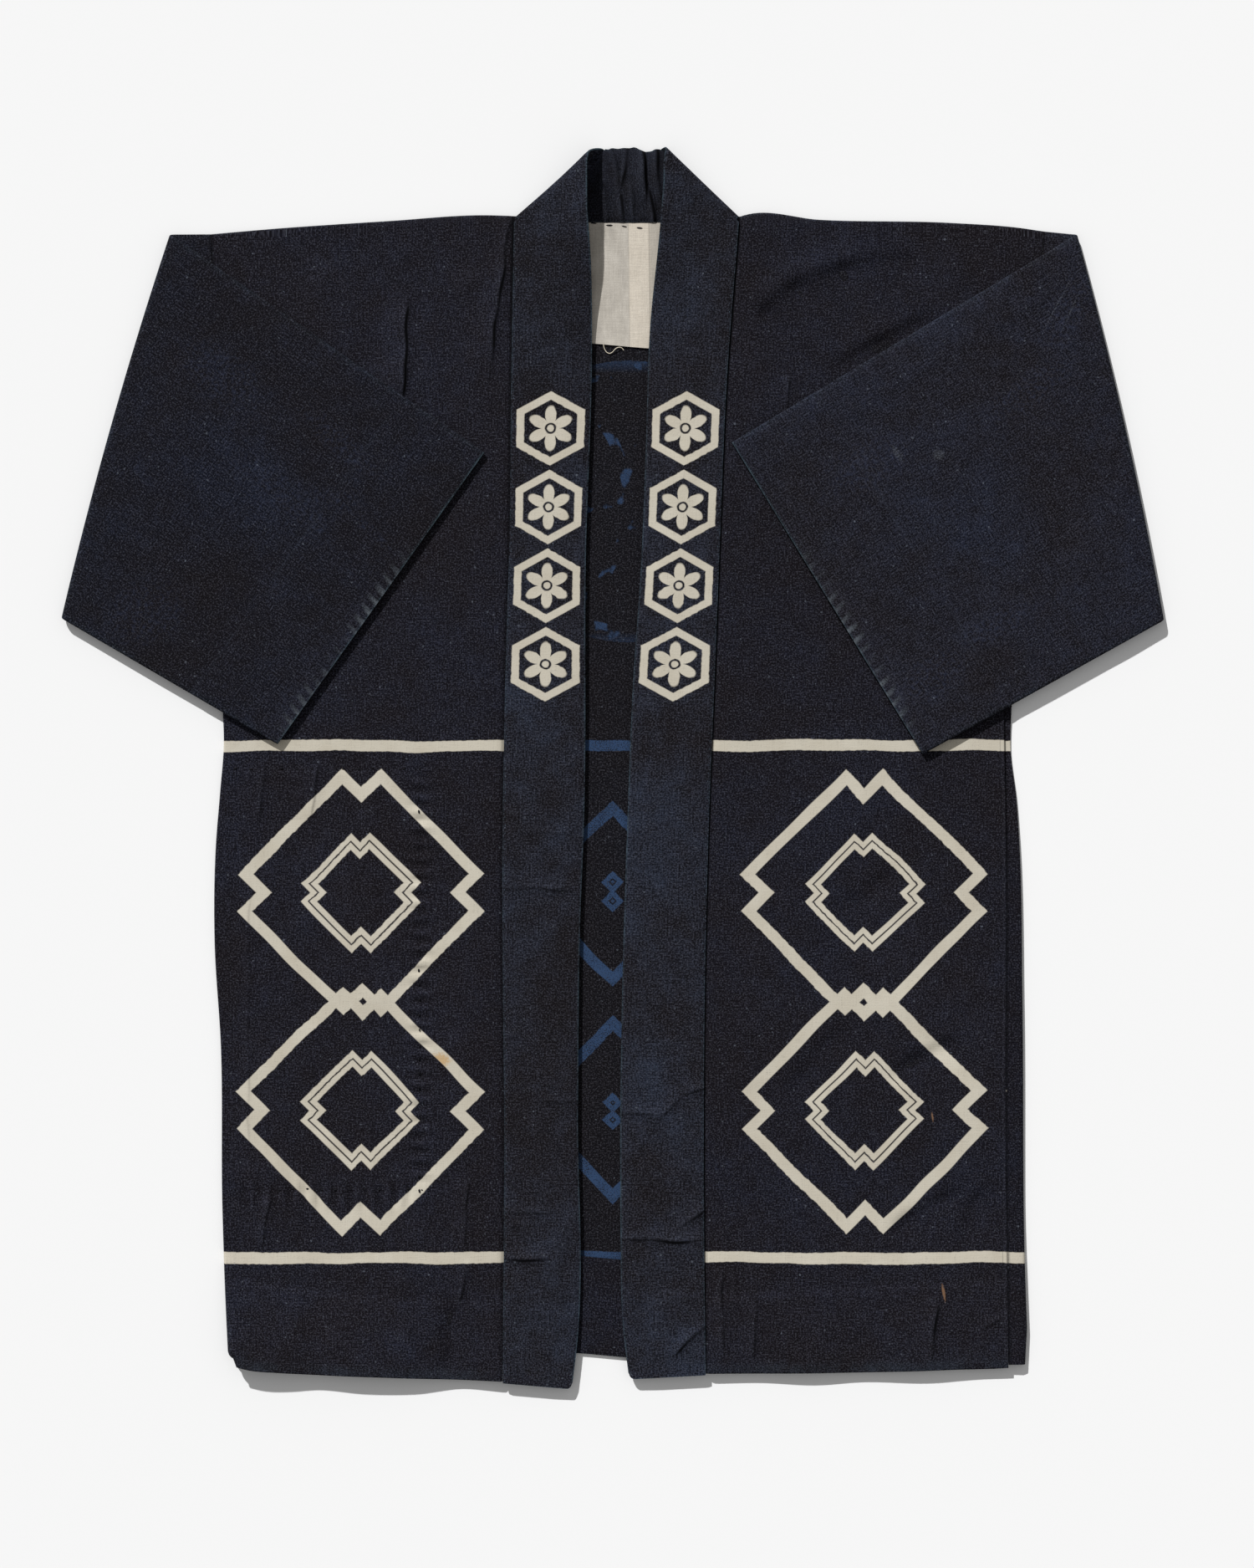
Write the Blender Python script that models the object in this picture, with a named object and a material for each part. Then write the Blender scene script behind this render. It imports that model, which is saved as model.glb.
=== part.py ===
"""Happi coat, a Japanese work coat, lying flat with both sleeves folded forward.

The frame: +X is to the viewer's right (the wearer's left side), +Y runs up the back to the
neck and +Z is up from the surface. Tables and heights are in millimetres.

Each cut piece of cloth is one object. A piece starts as a sheet of rows and columns that
runs through the middle of its cloth, folded as the coat lies, and is then given its
thickness. The coat's traditional cut is kept: each body length runs from the front hem over
the shoulder to the back hem, so the shoulder has a fold and no seam.
"""
import math

import bmesh
import bpy
import numpy as np

MM = 0.001

# Cloth and the clearances between layers
CLOTH = 1.0            # thickness of the body, sleeve and patch cloth
BAND = 2.6             # thickness of the doubled collar band
BAND_EDGE = 1.4        # the band's thickness at its two edges
SEAM = 0.3             # gap between sewn pieces
LAYER = 1.4            # from the middle of one layer to the middle of the next

# Heights of the middle of each layer above the surface
BACK_Z = CLOTH / 2
ARMHOLE_Z = 2.6        # front layer where the sleeve joins
FRONT_Z = 3.0          # front layer in the open panel
RAISED_Z = 4.8         # front layer beside the collar and over the hem
BAND_Z = 5.2           # collar on the fronts
BAND_BACK_Z = BAND / 2
SLEEVE_FOLD_Z = 4.25   # height of the line that the sleeve folds about

# Levels up the coat
UNDERARM_Y = 113.0
SHOULDER_Y = 412.0
NECK_Y = 424.0         # neck point, where the shoulder meets the collar
NECKLINE_Y = 420.0     # back-neck seam
FOOT_Y = -460.0        # just above the hem's roll
HEM_Y = -466.0
HEM_DEPTH = 62.0       # depth of the turned-up front hem
BACK_HEM_DEPTH = 74.0
TOP_BEND_Y = 250.0     # rows above this bend to the shoulder line
BOTTOM_BEND_Y = -300.0  # rows below this bend to the hem
COLLAR_LINE_X = 85.0   # about where the collar seams run
FRONT_LEVELS = (-440, -408, -372, -330, -280, -230, -180, -130, -82, -40, 0, 36, 72,
                113, 160, 207, 250, 290, 325, 355, 380, 402)
BACK_LEVELS = (400, 350, 250, 113, 0, -180, -330, -400)
# The left back wraps round the side, so below the underarm it has the front's levels
WRAP_BACK_LEVELS = (400, 350, 250, 160) + FRONT_LEVELS[13::-1]

# Where the front layer rises beside the collar and over the hem, and sinks at the armhole
COLLAR_SLOPE = 45.0
HEM_SLOPE_TOP = -330.0
HEM_SLOPE_BOTTOM = -400.0
ARMHOLE_SLOPE = 40.0
ARMHOLE_FROM_Y = 60.0
ARMHOLE_FADE = 60.0
FOLD_TAPER = 0.3       # share of a soft fold's length over which it fades at each end

# Columns across a body length, as shares of the way from the collar seam to the side
MAIN_SHARES = (0, 0.05, 0.13, 0.23, 0.34, 0.46, 0.58, 0.70, 0.81, 0.91, 1.0)
BACK_NECK_COLUMNS = 3
ROLL_STEPS = 5
HEM_ROLL_STEPS = 3

# Table columns: y, x
RIGHT = {
    "sign": -1,
    "collar_seam": ((-474, -84.6), (-295, -83.5), (-60, -84.8), (63, -82.8), (186, -79.3),
                    (290, -78.2), (424, -75.9)),
    "collar_edge": ((-478.6, -31.6), (-451, -28.1), (-260, -26.8), (-122, -25.2),
                    (-40, -22.1), (168, -20.6), (314, -16.1), (388, -16.8), (430, -19.6)),
    "outline": ((-460, -296), (-400, -299), (-340, -301), (-214, -302.2), (-134, -307),
                (-60, -306), (-20, -302.8), (18, -299.9), (50, -301), (113, -303.8)),
    "side_seam": ((-460, -289), (113, -297.5), (410.5, -310.0)),
}
LEFT = {
    "sign": 1,
    "collar_seam": ((-467.6, 71.6), (-382, 70.5), (-159, 71.1), (-37, 74.2), (63, 78.2),
                    (186, 83.0), (290, 87.4), (424.4, 97.5)),
    "collar_edge": ((-472, 12.7), (-427, 7.6), (-360, 6.1), (-203, 6.7), (-50, 11.0),
                    (79, 16.5), (143, 21.1), (245, 25.5), (339, 28.8), (417, 36.6),
                    (450, 39.2)),
    "outline": ((-462, 320.4), (-382, 317.7), (-182, 315.9), (-53, 313.3), (-26, 311.5),
                (14, 306.9), (47, 307.6), (113, 310.9)),
    "side_seam": ((-462, 304.6), (-280, 302.8), (-40, 302.8), (36, 301.6), (113, 303.5),
                  (412.5, 333.1)),
}
# Table columns: x, y
RIGHT["shoulder"] = ((-310, 410.8), (-269, 414.4), (-173, 421), (-98, 425.4), (-75, 424.7))
LEFT["shoulder"] = ((98, 424.4), (104, 426), (159, 422), (260, 419.6), (314, 415.7),
                    (333.1, 412.9))
RIGHT["front_hem"] = ((-297, -458.6), (-279, -463.4), (-257, -465.4), (-166, -469.6),
                      (-86, -472.9))
LEFT["front_hem"] = ((72, -467), (147, -466.5), (214, -465.4), (258, -463.9), (305, -462.3),
                     (320, -460.8))
BACK_HEM = ((-297, -456.5), (-150, -454), (-26, -451.8), (10, -454.9), (150, -454),
            (320, -460.5))
# How far the front hem stands off the surface, columns: x, rise
HEM_LIFT = ((-300, 7.6), (-262, 6.8), (-232, 4.2), (-200, 5.6), (-160, 4.6), (-118, 0.2),
            (-86, 1.4), (0, 0.0), (72, 0.6), (110, 0.3), (150, 1.9), (190, 0.5), (240, 2.2),
            (285, 0.7), (320, 1.2))
HEM_LIFT_REACH = 95.0

# Seams in the middle of the back, columns: y, x and x, y
CENTRE_BACK = ((-455, 0.0), (-330, 0.8), (-180, 1.8), (0, 3.2), (113, 5.6), (250, 11.0),
               (350, 12.6), (420, 12.6))
NECKLINE = ((-76, 421.4), (-40, 420.6), (12, 420.0), (60, 420.6), (98, 421.6))

# Soft folds of the fronts, columns: x and y of one end, x and y of the other, rise, half width
FRONT_FOLDS = (
    (-157, 352, -163, 270, 1.3, 15),
    (-84, 400, -112, 296, 0.8, 11),
    (-205, 398, -250, 330, 0.8, 20),
    (-236, -40, -170, -210, 1.1, 26),
    (-120, -60, -132, -330, 0.9, 22),
    (-275, -190, -262, -350, 1.0, 20),
    (112, 352, 190, 402, 1.2, 14),
    (105, 330, 122, 262, 0.8, 13),
    (230, 398, 290, 330, 0.9, 20),
    (118, -20, 112, -250, 0.9, 24),
    (196, -70, 246, -230, 1.2, 26),
    (282, -120, 272, -320, 0.8, 18),
)
# Wrinkles of the collar band, same columns
BAND_FOLDS = (
    (-78, -366, -36, -380, 0.9, 10),
    (-70, -250, -30, -230, 0.6, 14),
    (-74, 330, -24, 352, 0.6, 12),
    (44, -365, 70, -371, 1.2, 8),
    (22, -300, 60, -318, 0.9, 10),
    (24, -420, 62, -402, 0.9, 11),
    (30, 214, 74, 236, 0.6, 14),
)

# Sleeves as they lie: the fold from the shoulder to the underarm edge, and the cuff's ends
RIGHT["sleeve"] = {"fold_top": (-340.6, 411.8), "fold_bottom": (-424.4, 115.8),
                   "cuff_top": (-98.7, 242.2), "cuff_bottom": (-258.0, 17.7)}
LEFT["sleeve"] = {"fold_top": (357.3, 411.8), "fold_bottom": (424.4, 114.5),
                  "cuff_top": (91.6, 249.9), "cuff_bottom": (238.7, 10.0)}
UNDERARM_RISE = 0.8    # how far the sleeve's lower edge clears the body's side seam
FLAP_CLEARANCE = 1.7   # from the middle of the front to the middle of the cloth folded over it
FLAP_FIRMNESS = 2.5    # how sharply the folded part follows what is under it
FLAP_RISE_OVER = 40.0
FOLD_BULGE = 3.6       # the folded edge bows out in the middle
FOLD_BULGE_REACH = 50.0
SLEEVE_ROLL_STEPS = 6
SLEEVE_EDGE_STEPS = 4
SLEEVE_CELLS = 8
BASE_SHARES = (0.0, 0.36, 0.72)
FLAP_SHARES = (0.1, 0.22, 0.36, 0.50, 0.64, 0.78, 0.90, 1.0)
# Where the folded sleeves stand off, columns: x, y, rise, radius
FLAP_LIFTS = (
    (-262, 22, 1.8, 48),
    (-340, 66, 1.6, 55),
    (-240, 230, 0.7, 50),
    (-330, 250, 0.8, 50),
    (166, 128, 2.0, 58),
    (240, 14, 2.6, 48),
    (330, 62, 2.6, 60),
    (418, 118, 1.4, 40),
    (250, 250, 0.8, 55),
)

# Neck patch inside the back
PATCH_LEFT = -56.0
PATCH_RIGHT = 81.0
PATCH_BOTTOM = ((-56, 330.0), (-16, 326.7), (29, 322.8), (81, 321.0))
PATCH_TOP_GAP = 0.6
PATCH_Z = BACK_Z + CLOTH + SEAM
PATCH_COLUMNS = 5
PATCH_ROWS = 4

BAND_FOOT_Y = -475.0
BAND_FOOT_LIFT = 1.0   # the band's feet stand off the surface
BAND_DROOP = 0.5       # how far its free edge sinks
BAND_DROOP_FROM = 0.6
PUCKER_START = 0.12    # puckers already stand up a little at the seam
# Collar stations: levels up the fronts, then lines that fan to the crease
BAND_LEVELS = (-440, -400, -384, -368, -340, -312, -280, -240, -190, -140, -90, -40, 10, 60,
               110, 160, 210, 250, 290, 330, 365, 392)
BAND_SHARES = (0, 0.06, 0.36, 0.66, 0.94, 1.0)
BAND_THICKNESS = (BAND_EDGE, BAND, BAND, BAND, BAND, BAND_EDGE)
# The fan, columns: y at the seam, y at the free edge
BAND_FAN = ((406, 418), (412, 440), (416.5, 455), (419.5, 464))
RIGHT["foot"] = ((-84.6, -474.0), (-31.6, -478.6))
LEFT["foot"] = ((71.6, -467.8), (12.7, -471.0))
RIGHT["crease"] = ((-75.0, 424.0), (-10.3, 479.0))
LEFT["crease"] = ((97.2, 424.2), (40.0, 478.0))
# The free edge where the band folds over to the back: its point above and its point below
RIGHT["turn"] = ((-18.5, 470.0), (-6.5, 475.8))
LEFT["turn"] = ((40.3, 473.3), (36.8, 475.9))
# How far the free edge stands up towards the neck, columns: y, rise
RIGHT["neck_rise"] = ((329, 0.0), (349, 1.4), (377, 5.5), (401, 10.0), (418, 12.0), (470, 13.0))
LEFT["neck_rise"] = ((335, 0.0), (365, 1.0), (392, 3.5), (418, 6.5), (474, 8.5))
NECK_RISE_POWER = 1.6  # how late the rise comes on the way from the seam to the free edge
# The band behind the neck, columns: x at the seam, x at the top, y at the top, pucker
BAND_BACK = (
    (-48, -5.5, 476.3, 0.0), (-30, -3.0, 476.2, 0.2), (-16, 0.0, 477.0, 1.4),
    (-8, 4.0, 476.6, 1.3), (1, 8.5, 477.2, 0.3), (9, 12.5, 477.0, 1.2),
    (17, 17.0, 477.6, 1.8), (25, 21.5, 475.4, 1.7), (29, 24.0, 474.4, 0.3),
    (35, 27.0, 474.4, 1.3), (44, 30.0, 474.8, 0.4), (58, 32.5, 476.0, 0.1),
    (76, 35.5, 476.2, 0.0),
)

# Looks
INDIGO_BODY = (0.010, 0.012, 0.020)
INDIGO_SLEEVE = (0.011, 0.016, 0.030)
INDIGO_BAND = (0.013, 0.018, 0.032)
UNDYED = (0.56, 0.52, 0.44)
CLOTH_ROUGHNESS = 0.9
CREASE_ANGLE = math.radians(50)


def read(table, at):
    """The second column of a table at a value of its first, by straight lines."""
    firsts = [row[0] for row in table]
    seconds = [row[1] for row in table]
    return np.interp(at, firsts, seconds)


def ease(share):
    """A smooth step from 0 to 1."""
    share = np.clip(share, 0.0, 1.0)
    return share * share * (3.0 - 2.0 * share)


def folds_at(folds, x, y):
    """The height that the soft folds of a table add at a point."""
    rise = 0.0
    for x0, y0, x1, y1, height, half_width in folds:
        run = np.array((x1 - x0, y1 - y0))
        length = math.hypot(*run)
        along = ((x - x0) * run[0] + (y - y0) * run[1]) / length
        across = ((x - x0) * run[1] - (y - y0) * run[0]) / length
        taper = FOLD_TAPER * length
        ends = ease(along / taper) * ease((length - along) / taper)
        rise += height * ends * math.exp(-(across / half_width) ** 2)
    return rise


def front_height(side, x, y):
    """The middle of the front layer above the surface."""
    from_collar = abs(x - read(side["collar_seam"], y))
    from_armhole = abs(x - read(side["side_seam"], y))
    beside_collar = math.exp(-(from_collar / COLLAR_SLOPE) ** 2)
    over_hem = ease((HEM_SLOPE_TOP - y) / (HEM_SLOPE_TOP - HEM_SLOPE_BOTTOM))
    raised = 1.0 - (1.0 - beside_collar) * (1.0 - over_hem)
    height = FRONT_Z + (RAISED_Z - FRONT_Z) * raised
    height += folds_at(FRONT_FOLDS, x, y)
    hem = read(side["front_hem"], x)
    near_hem = 1.0 - ease((y - hem) / HEM_LIFT_REACH)
    height += read(HEM_LIFT, x) * near_hem
    at_sleeve = math.exp(-(from_armhole / ARMHOLE_SLOPE) ** 2)
    at_sleeve *= ease((y - ARMHOLE_FROM_Y) / ARMHOLE_FADE)
    return height + (ARMHOLE_Z - height) * at_sleeve


def half_roll(start, end, outward, steps, bulge=None):
    """Points round a half turn from a start to an end that lies above or below it."""
    start = np.array(start, float)
    end = np.array(end, float)
    centre = (start + end) / 2.0
    arm = start - centre
    bulge = np.linalg.norm(arm) if bulge is None else bulge
    outward = np.array(outward, float)
    points = []
    for step in range(1, steps):
        angle = math.pi * step / steps
        points.append(centre + arm * math.cos(angle) + outward * bulge * math.sin(angle))
    return points


def body_sheet(side, back_levels, tail_on_front):
    """Rows of points through a body length, and the mask of the cells that are cloth."""
    sign = side["sign"]
    centre_gap = sign * SEAM / 2

    def row_y(level, x):
        """A level bent to the shoulder line near the top and to the hem near the bottom."""
        up = ease((level - TOP_BEND_Y) / (SHOULDER_Y - TOP_BEND_Y))
        down = ease((BOTTOM_BEND_Y - level) / (BOTTOM_BEND_Y - FOOT_Y))
        return (level + up * (read(side["shoulder"], x) - SHOULDER_Y)
                + down * (read(side["front_hem"], x) - HEM_Y))

    def seam_x(level):
        return read(side["side_seam"], level)

    def main_x(level):
        seam_y = row_y(level, sign * COLLAR_LINE_X)
        inner = read(side["collar_seam"], seam_y) + sign * SEAM
        return [inner + (seam_x(level) - inner) * share for share in MAIN_SHARES]

    def back_x(level, split):
        centre = read(CENTRE_BACK, level) + centre_gap
        neck = [centre + (split - centre) * k / BACK_NECK_COLUMNS
                for k in range(BACK_NECK_COLUMNS)]
        return neck + [split + (seam_x(level) - split) * share for share in MAIN_SHARES]

    def tail(level, y):
        """The stretch that turns round the side fold, from the bottom layer to the top."""
        out = read(side["outline"], level)
        top_z = front_height(side, out, y)
        radius = (top_z - BACK_Z) / 2
        axis = out - sign * (radius + CLOTH / 2)
        low = (axis, y, BACK_Z)
        high = (axis, y, top_z)
        lap_x = seam_x(level) + sign * SEAM
        roll = half_roll(low, high, (sign, 0, 0), ROLL_STEPS)
        points = [low] + roll + [high]
        if tail_on_front:
            return points[::-1] + [(lap_x, y, BACK_Z)]
        return points + [(lap_x, y, front_height(side, lap_x, y))]

    columns = BACK_NECK_COLUMNS + len(MAIN_SHARES)
    tail_columns = ROLL_STEPS + 2
    rows = []
    kinds = []

    def add(kind, neck, main, ending):
        row = list(neck) + list(main) + list(ending)
        rows.append([np.array(point, float) for point in row])
        kinds.append(kind)

    no_neck = [(0, 0, 0)] * BACK_NECK_COLUMNS
    no_tail = [(0, 0, 0)] * tail_columns

    # Front hem: the turned-up edge, then the roll at the hem
    hem_drop = LAYER / 2 + CLOTH / 2
    hem_xs = main_x(FOOT_Y)
    front_foot = [(x, read(side["front_hem"], x) + hem_drop) for x in hem_xs]
    upper = [(x, y, front_height(side, x, y)) for x, y in front_foot]
    lower = [(x, y, z - LAYER) for x, y, z in upper]
    for depth in (HEM_DEPTH, HEM_DEPTH / 2):
        flap = [(x, y + depth) for x, y in front_foot]
        add("turn", no_neck,
            [(x, y, front_height(side, x, y) - LAYER) for x, y in flap], no_tail)
    add("turn", no_neck, lower, no_tail)
    rolls = [half_roll(low, high, (0, -1, 0), HEM_ROLL_STEPS)
             for low, high in zip(lower, upper)]
    for step in range(HEM_ROLL_STEPS - 1):
        add("turn", no_neck, [roll[step] for roll in rolls], no_tail)

    # Front
    last_y = upper[-1][1]
    add("front", no_neck, upper, tail(FOOT_Y, last_y) if tail_on_front else no_tail)
    for level in FRONT_LEVELS:
        points = []
        for x in main_x(level):
            y = row_y(level, x)
            points.append((x, y, front_height(side, x, y)))
        has_tail = tail_on_front and level <= UNDERARM_Y
        add("front", no_neck, points, tail(level, points[-1][1]) if has_tail else no_tail)

    # Shoulder fold
    shoulder_xs = main_x(NECK_Y)
    high = []
    low = []
    for x in shoulder_xs:
        crest = read(side["shoulder"], x)
        z = front_height(side, x, crest)
        y = crest - CLOTH / 2 - (z - BACK_Z) / 2
        high.append((x, y, z))
        low.append((x, y, BACK_Z))
    add("shoulder", no_neck, high, no_tail)
    rolls = [half_roll(a, b, (0, 1, 0), ROLL_STEPS) for a, b in zip(high, low)]
    for step in range(ROLL_STEPS - 1):
        add("shoulder", no_neck, [roll[step] for roll in rolls], no_tail)

    # Back
    split = shoulder_xs[0]
    neck_xs = back_x(NECKLINE_Y, split)[:BACK_NECK_COLUMNS]
    neck = [(x, read(NECKLINE, x) - SEAM, BACK_Z) for x in neck_xs]
    low[0] = (split, min(low[0][1], read(NECKLINE, split) - SEAM), BACK_Z)
    add("back", neck, low, no_tail)
    for level in back_levels:
        xs = back_x(level, split)
        points = [(x, level if level < BOTTOM_BEND_Y else row_y(level, x), BACK_Z)
                  for x in xs]
        has_tail = not tail_on_front and level <= UNDERARM_Y
        add("back", points[:BACK_NECK_COLUMNS], points[BACK_NECK_COLUMNS:],
            tail(level, points[-1][1]) if has_tail else no_tail)
    hem_xs = back_x(FOOT_Y, split)
    foot = [(x, read(BACK_HEM, x) + hem_drop, BACK_Z) for x in hem_xs]
    over = [(x, y, z + LAYER) for x, y, z in foot]
    add("back", foot[:BACK_NECK_COLUMNS], foot[BACK_NECK_COLUMNS:],
        no_tail if tail_on_front else tail(FOOT_Y, foot[-1][1]))
    rolls = [half_roll(a, b, (0, -1, 0), HEM_ROLL_STEPS) for a, b in zip(foot, over)]
    for step in range(HEM_ROLL_STEPS - 1):
        line = [roll[step] for roll in rolls]
        add("hem", line[:BACK_NECK_COLUMNS], line[BACK_NECK_COLUMNS:], no_tail)
    for depth in (0.0, BACK_HEM_DEPTH):
        line = [(x, y + depth, z) for x, y, z in over]
        add("hem", line[:BACK_NECK_COLUMNS], line[BACK_NECK_COLUMNS:], no_tail)

    grid = np.array(rows)
    mask = np.zeros((len(rows) - 1, grid.shape[1] - 1), bool)
    mask[:, BACK_NECK_COLUMNS:columns - 1] = True
    for i in range(len(rows) - 1):
        if kinds[i] in ("back", "hem"):
            mask[i, :BACK_NECK_COLUMNS] = True
        if grid[i, columns, 0] != 0 and grid[i + 1, columns, 0] != 0:
            mask[i, columns - 1:] = True
    return grid, mask


def collar_sheet():
    """Rows of points across the collar band, from the right foot to the left foot."""
    rows = []
    reach = (BAND_Z - BAND_BACK_Z) / 2 + BAND / 2

    def band_height(x, y):
        near_hem = 1.0 - ease((y - BAND_FOOT_Y) / HEM_LIFT_REACH)
        return BAND_Z + folds_at(BAND_FOLDS, x, y) + BAND_FOOT_LIFT * near_hem

    def free_edge(side, share, edge_y):
        """How far the band rises towards the neck, less its droop."""
        droop = BAND_DROOP * ease((share - BAND_DROOP_FROM) / (1.0 - BAND_DROOP_FROM))
        return read(side["neck_rise"], edge_y) * share ** NECK_RISE_POWER - droop

    def across(side, seam, edge):
        points = []
        for share in BAND_SHARES:
            x = seam[0] + (edge[0] - seam[0]) * share
            y = seam[1] + (edge[1] - seam[1]) * share
            points.append((x, y, band_height(x, y) + free_edge(side, share, edge[1])))
        return points

    def front(side):
        lines = [across(side, *side["foot"])]
        for level in BAND_LEVELS:
            seam = (read(side["collar_seam"], level), level)
            edge = (read(side["collar_edge"], level), level)
            lines.append(across(side, seam, edge))
        for seam_y, edge_y in BAND_FAN:
            seam = (read(side["collar_seam"], seam_y), seam_y)
            edge = (read(side["collar_edge"], edge_y), edge_y)
            lines.append(across(side, seam, edge))
        return lines

    def crease_lines(side):
        """The roll that folds the band over, flat at the seam and tall at the free edge."""
        start, end = (np.array(point) for point in side["crease"])
        run = (end - start) / np.linalg.norm(end - start)
        outward = np.array((-run[1], run[0]))
        if outward[1] < 0:
            outward = -outward
        above, below = (np.array(point) - (end - outward * reach) for point in side["turn"])
        rolls = []
        for share, thickness in zip(BAND_SHARES, BAND_THICKNESS):
            crest = start + (end - start) * share
            high = crest - outward * reach + above * share ** 2
            low = crest - outward * reach + below * share ** 2
            bulge = np.dot(crest - (high + low) / 2, outward) - thickness / 2
            high = (*high, BAND_Z + free_edge(side, share, end[1]))
            low = (*low, BAND_BACK_Z)
            turn = half_roll(high, low, (*outward, 0.0), ROLL_STEPS, bulge)
            rolls.append([high] + turn + [low])
        return [list(line) for line in zip(*rolls)]

    rows += front(RIGHT)
    rows += crease_lines(RIGHT)
    for seam_x, top_x, top_y, pucker in BAND_BACK:
        seam_y = read(NECKLINE, seam_x)
        line = []
        for share in BAND_SHARES:
            rise = pucker * math.sin(math.pi * (PUCKER_START + (1.0 - PUCKER_START) * share))
            line.append((seam_x + (top_x - seam_x) * share, seam_y + (top_y - seam_y) * share,
                         BAND_BACK_Z + rise))
        rows.append(line)
    rows += crease_lines(LEFT)[::-1]
    rows += front(LEFT)[::-1]
    return np.array([[np.array(point, float) for point in row] for row in rows])


def sleeve_sheet(side):
    """Rings of points round a sleeve, from the armhole to the cuff, folded as it lies."""
    sign = side["sign"]
    lies = {name: np.array(point) for name, point in side["sleeve"].items()}
    low_z = BACK_Z
    high_z = ARMHOLE_Z
    outer_radius = SLEEVE_FOLD_Z - low_z
    neutral = SLEEVE_FOLD_Z - (low_z + high_z) / 2
    run = lies["fold_bottom"] - lies["fold_top"]
    length = np.linalg.norm(run)
    run = run / length
    outward = np.array((-run[1], run[0]))
    if outward[0] * sign < 0:
        outward = -outward
    top = lies["fold_top"] - outward * (outer_radius + CLOTH / 2)
    bottom = lies["fold_bottom"] - outward * (outer_radius + CLOTH / 2)

    def unfold(point):
        """Where a point of the folded part lies when the sleeve is opened out."""
        away = np.dot(point - top, outward)
        return point + outward * (math.pi * neutral - 2 * away)

    cuff = (unfold(lies["cuff_top"]), unfold(lies["cuff_bottom"]))
    armhole_x = read(side["side_seam"], SHOULDER_Y)
    underarm = UNDERARM_Y + UNDERARM_RISE
    armhole = (np.array((armhole_x + sign * SEAM, read(side["shoulder"], armhole_x))),
               np.array((read(side["side_seam"], underarm) + sign * SEAM, underarm)))
    stations = [tuple(a + (b - a) * share for a, b in zip(armhole, (top, bottom)))
                for share in BASE_SHARES]
    for step in range(SLEEVE_ROLL_STEPS + 1):
        away = math.pi * neutral * step / SLEEVE_ROLL_STEPS
        line = []
        for hinge, end in zip((top, bottom), cuff):
            total = np.dot(end - hinge, outward)
            line.append(hinge + (end - hinge) * away / total)
        stations.append(tuple(line))
    bent = stations[-1]
    for share in FLAP_SHARES:
        stations.append(tuple(a + (b - a) * share for a, b in zip(bent, cuff)))

    def bend(point):
        """Carry a point of the opened-out sleeve round the fold."""
        plan = np.array(point[:2])
        away = np.dot(plan - top, outward)
        radius = SLEEVE_FOLD_Z - point[2]
        if away <= 0.0:
            moved, z, on_flap = plan, point[2], 0.0
        elif away < math.pi * neutral:
            angle = away / neutral
            moved = plan + outward * (radius * math.sin(angle) - away)
            z = SLEEVE_FOLD_Z - radius * math.cos(angle)
            on_flap = 0.0
        else:
            moved = plan - outward * (2 * away - math.pi * neutral)
            z = SLEEVE_FOLD_Z + radius
            on_flap = away - math.pi * neutral
        share = np.clip(np.dot(moved - top, run) / length, 0.0, 1.0)
        distance = np.dot(top - moved, outward)
        bow = FOLD_BULGE * 4 * share * (1 - share) * math.exp(-(distance / FOLD_BULGE_REACH) ** 2)
        moved = moved + outward * bow
        if on_flap > 0.0:
            x, y = moved
            over = front_height(side, x, y) + FLAP_CLEARANCE - (2 * SLEEVE_FOLD_Z - high_z)
            rise = math.log1p(math.exp(FLAP_FIRMNESS * over)) / FLAP_FIRMNESS
            for lift_x, lift_y, height, reach in FLAP_LIFTS:
                away_2 = (x - lift_x) ** 2 + (y - lift_y) ** 2
                rise += height * math.exp(-away_2 / reach ** 2)
            z += rise * ease(on_flap / FLAP_RISE_OVER)
        return (moved[0], moved[1], z)

    rings = []
    radius = (high_z - low_z) / 2
    for start, end in stations:
        down = (end - start) / np.linalg.norm(end - start)
        first = start + down * (radius + CLOTH / 2)
        last = end - down * (radius + CLOTH / 2)
        ring = [(*first, low_z)]
        ring += [tuple(p) for p in half_roll((*first, low_z), (*first, high_z),
                                             (*(-down), 0.0), SLEEVE_EDGE_STEPS)]
        ring += [(*(first + (last - first) * k / SLEEVE_CELLS), high_z)
                 for k in range(SLEEVE_CELLS + 1)]
        ring += [tuple(p) for p in half_roll((*last, high_z), (*last, low_z),
                                             (*down, 0.0), SLEEVE_EDGE_STEPS)]
        ring += [(*(last + (first - last) * k / SLEEVE_CELLS), low_z)
                 for k in range(SLEEVE_CELLS)]
        rings.append([bend(point) for point in ring])
    return np.array(rings)


def patch_sheet():
    """Rows of points through the neck patch, laid on the back panels' points."""
    rows = []
    for x in np.linspace(PATCH_LEFT, PATCH_RIGHT, PATCH_COLUMNS):
        top = read(NECKLINE, x) - PATCH_TOP_GAP
        bottom = read(PATCH_BOTTOM, x)
        rows.append([(x, y, PATCH_Z) for y in np.linspace(bottom, top, PATCH_ROWS)])
    return np.array(rows)


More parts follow.
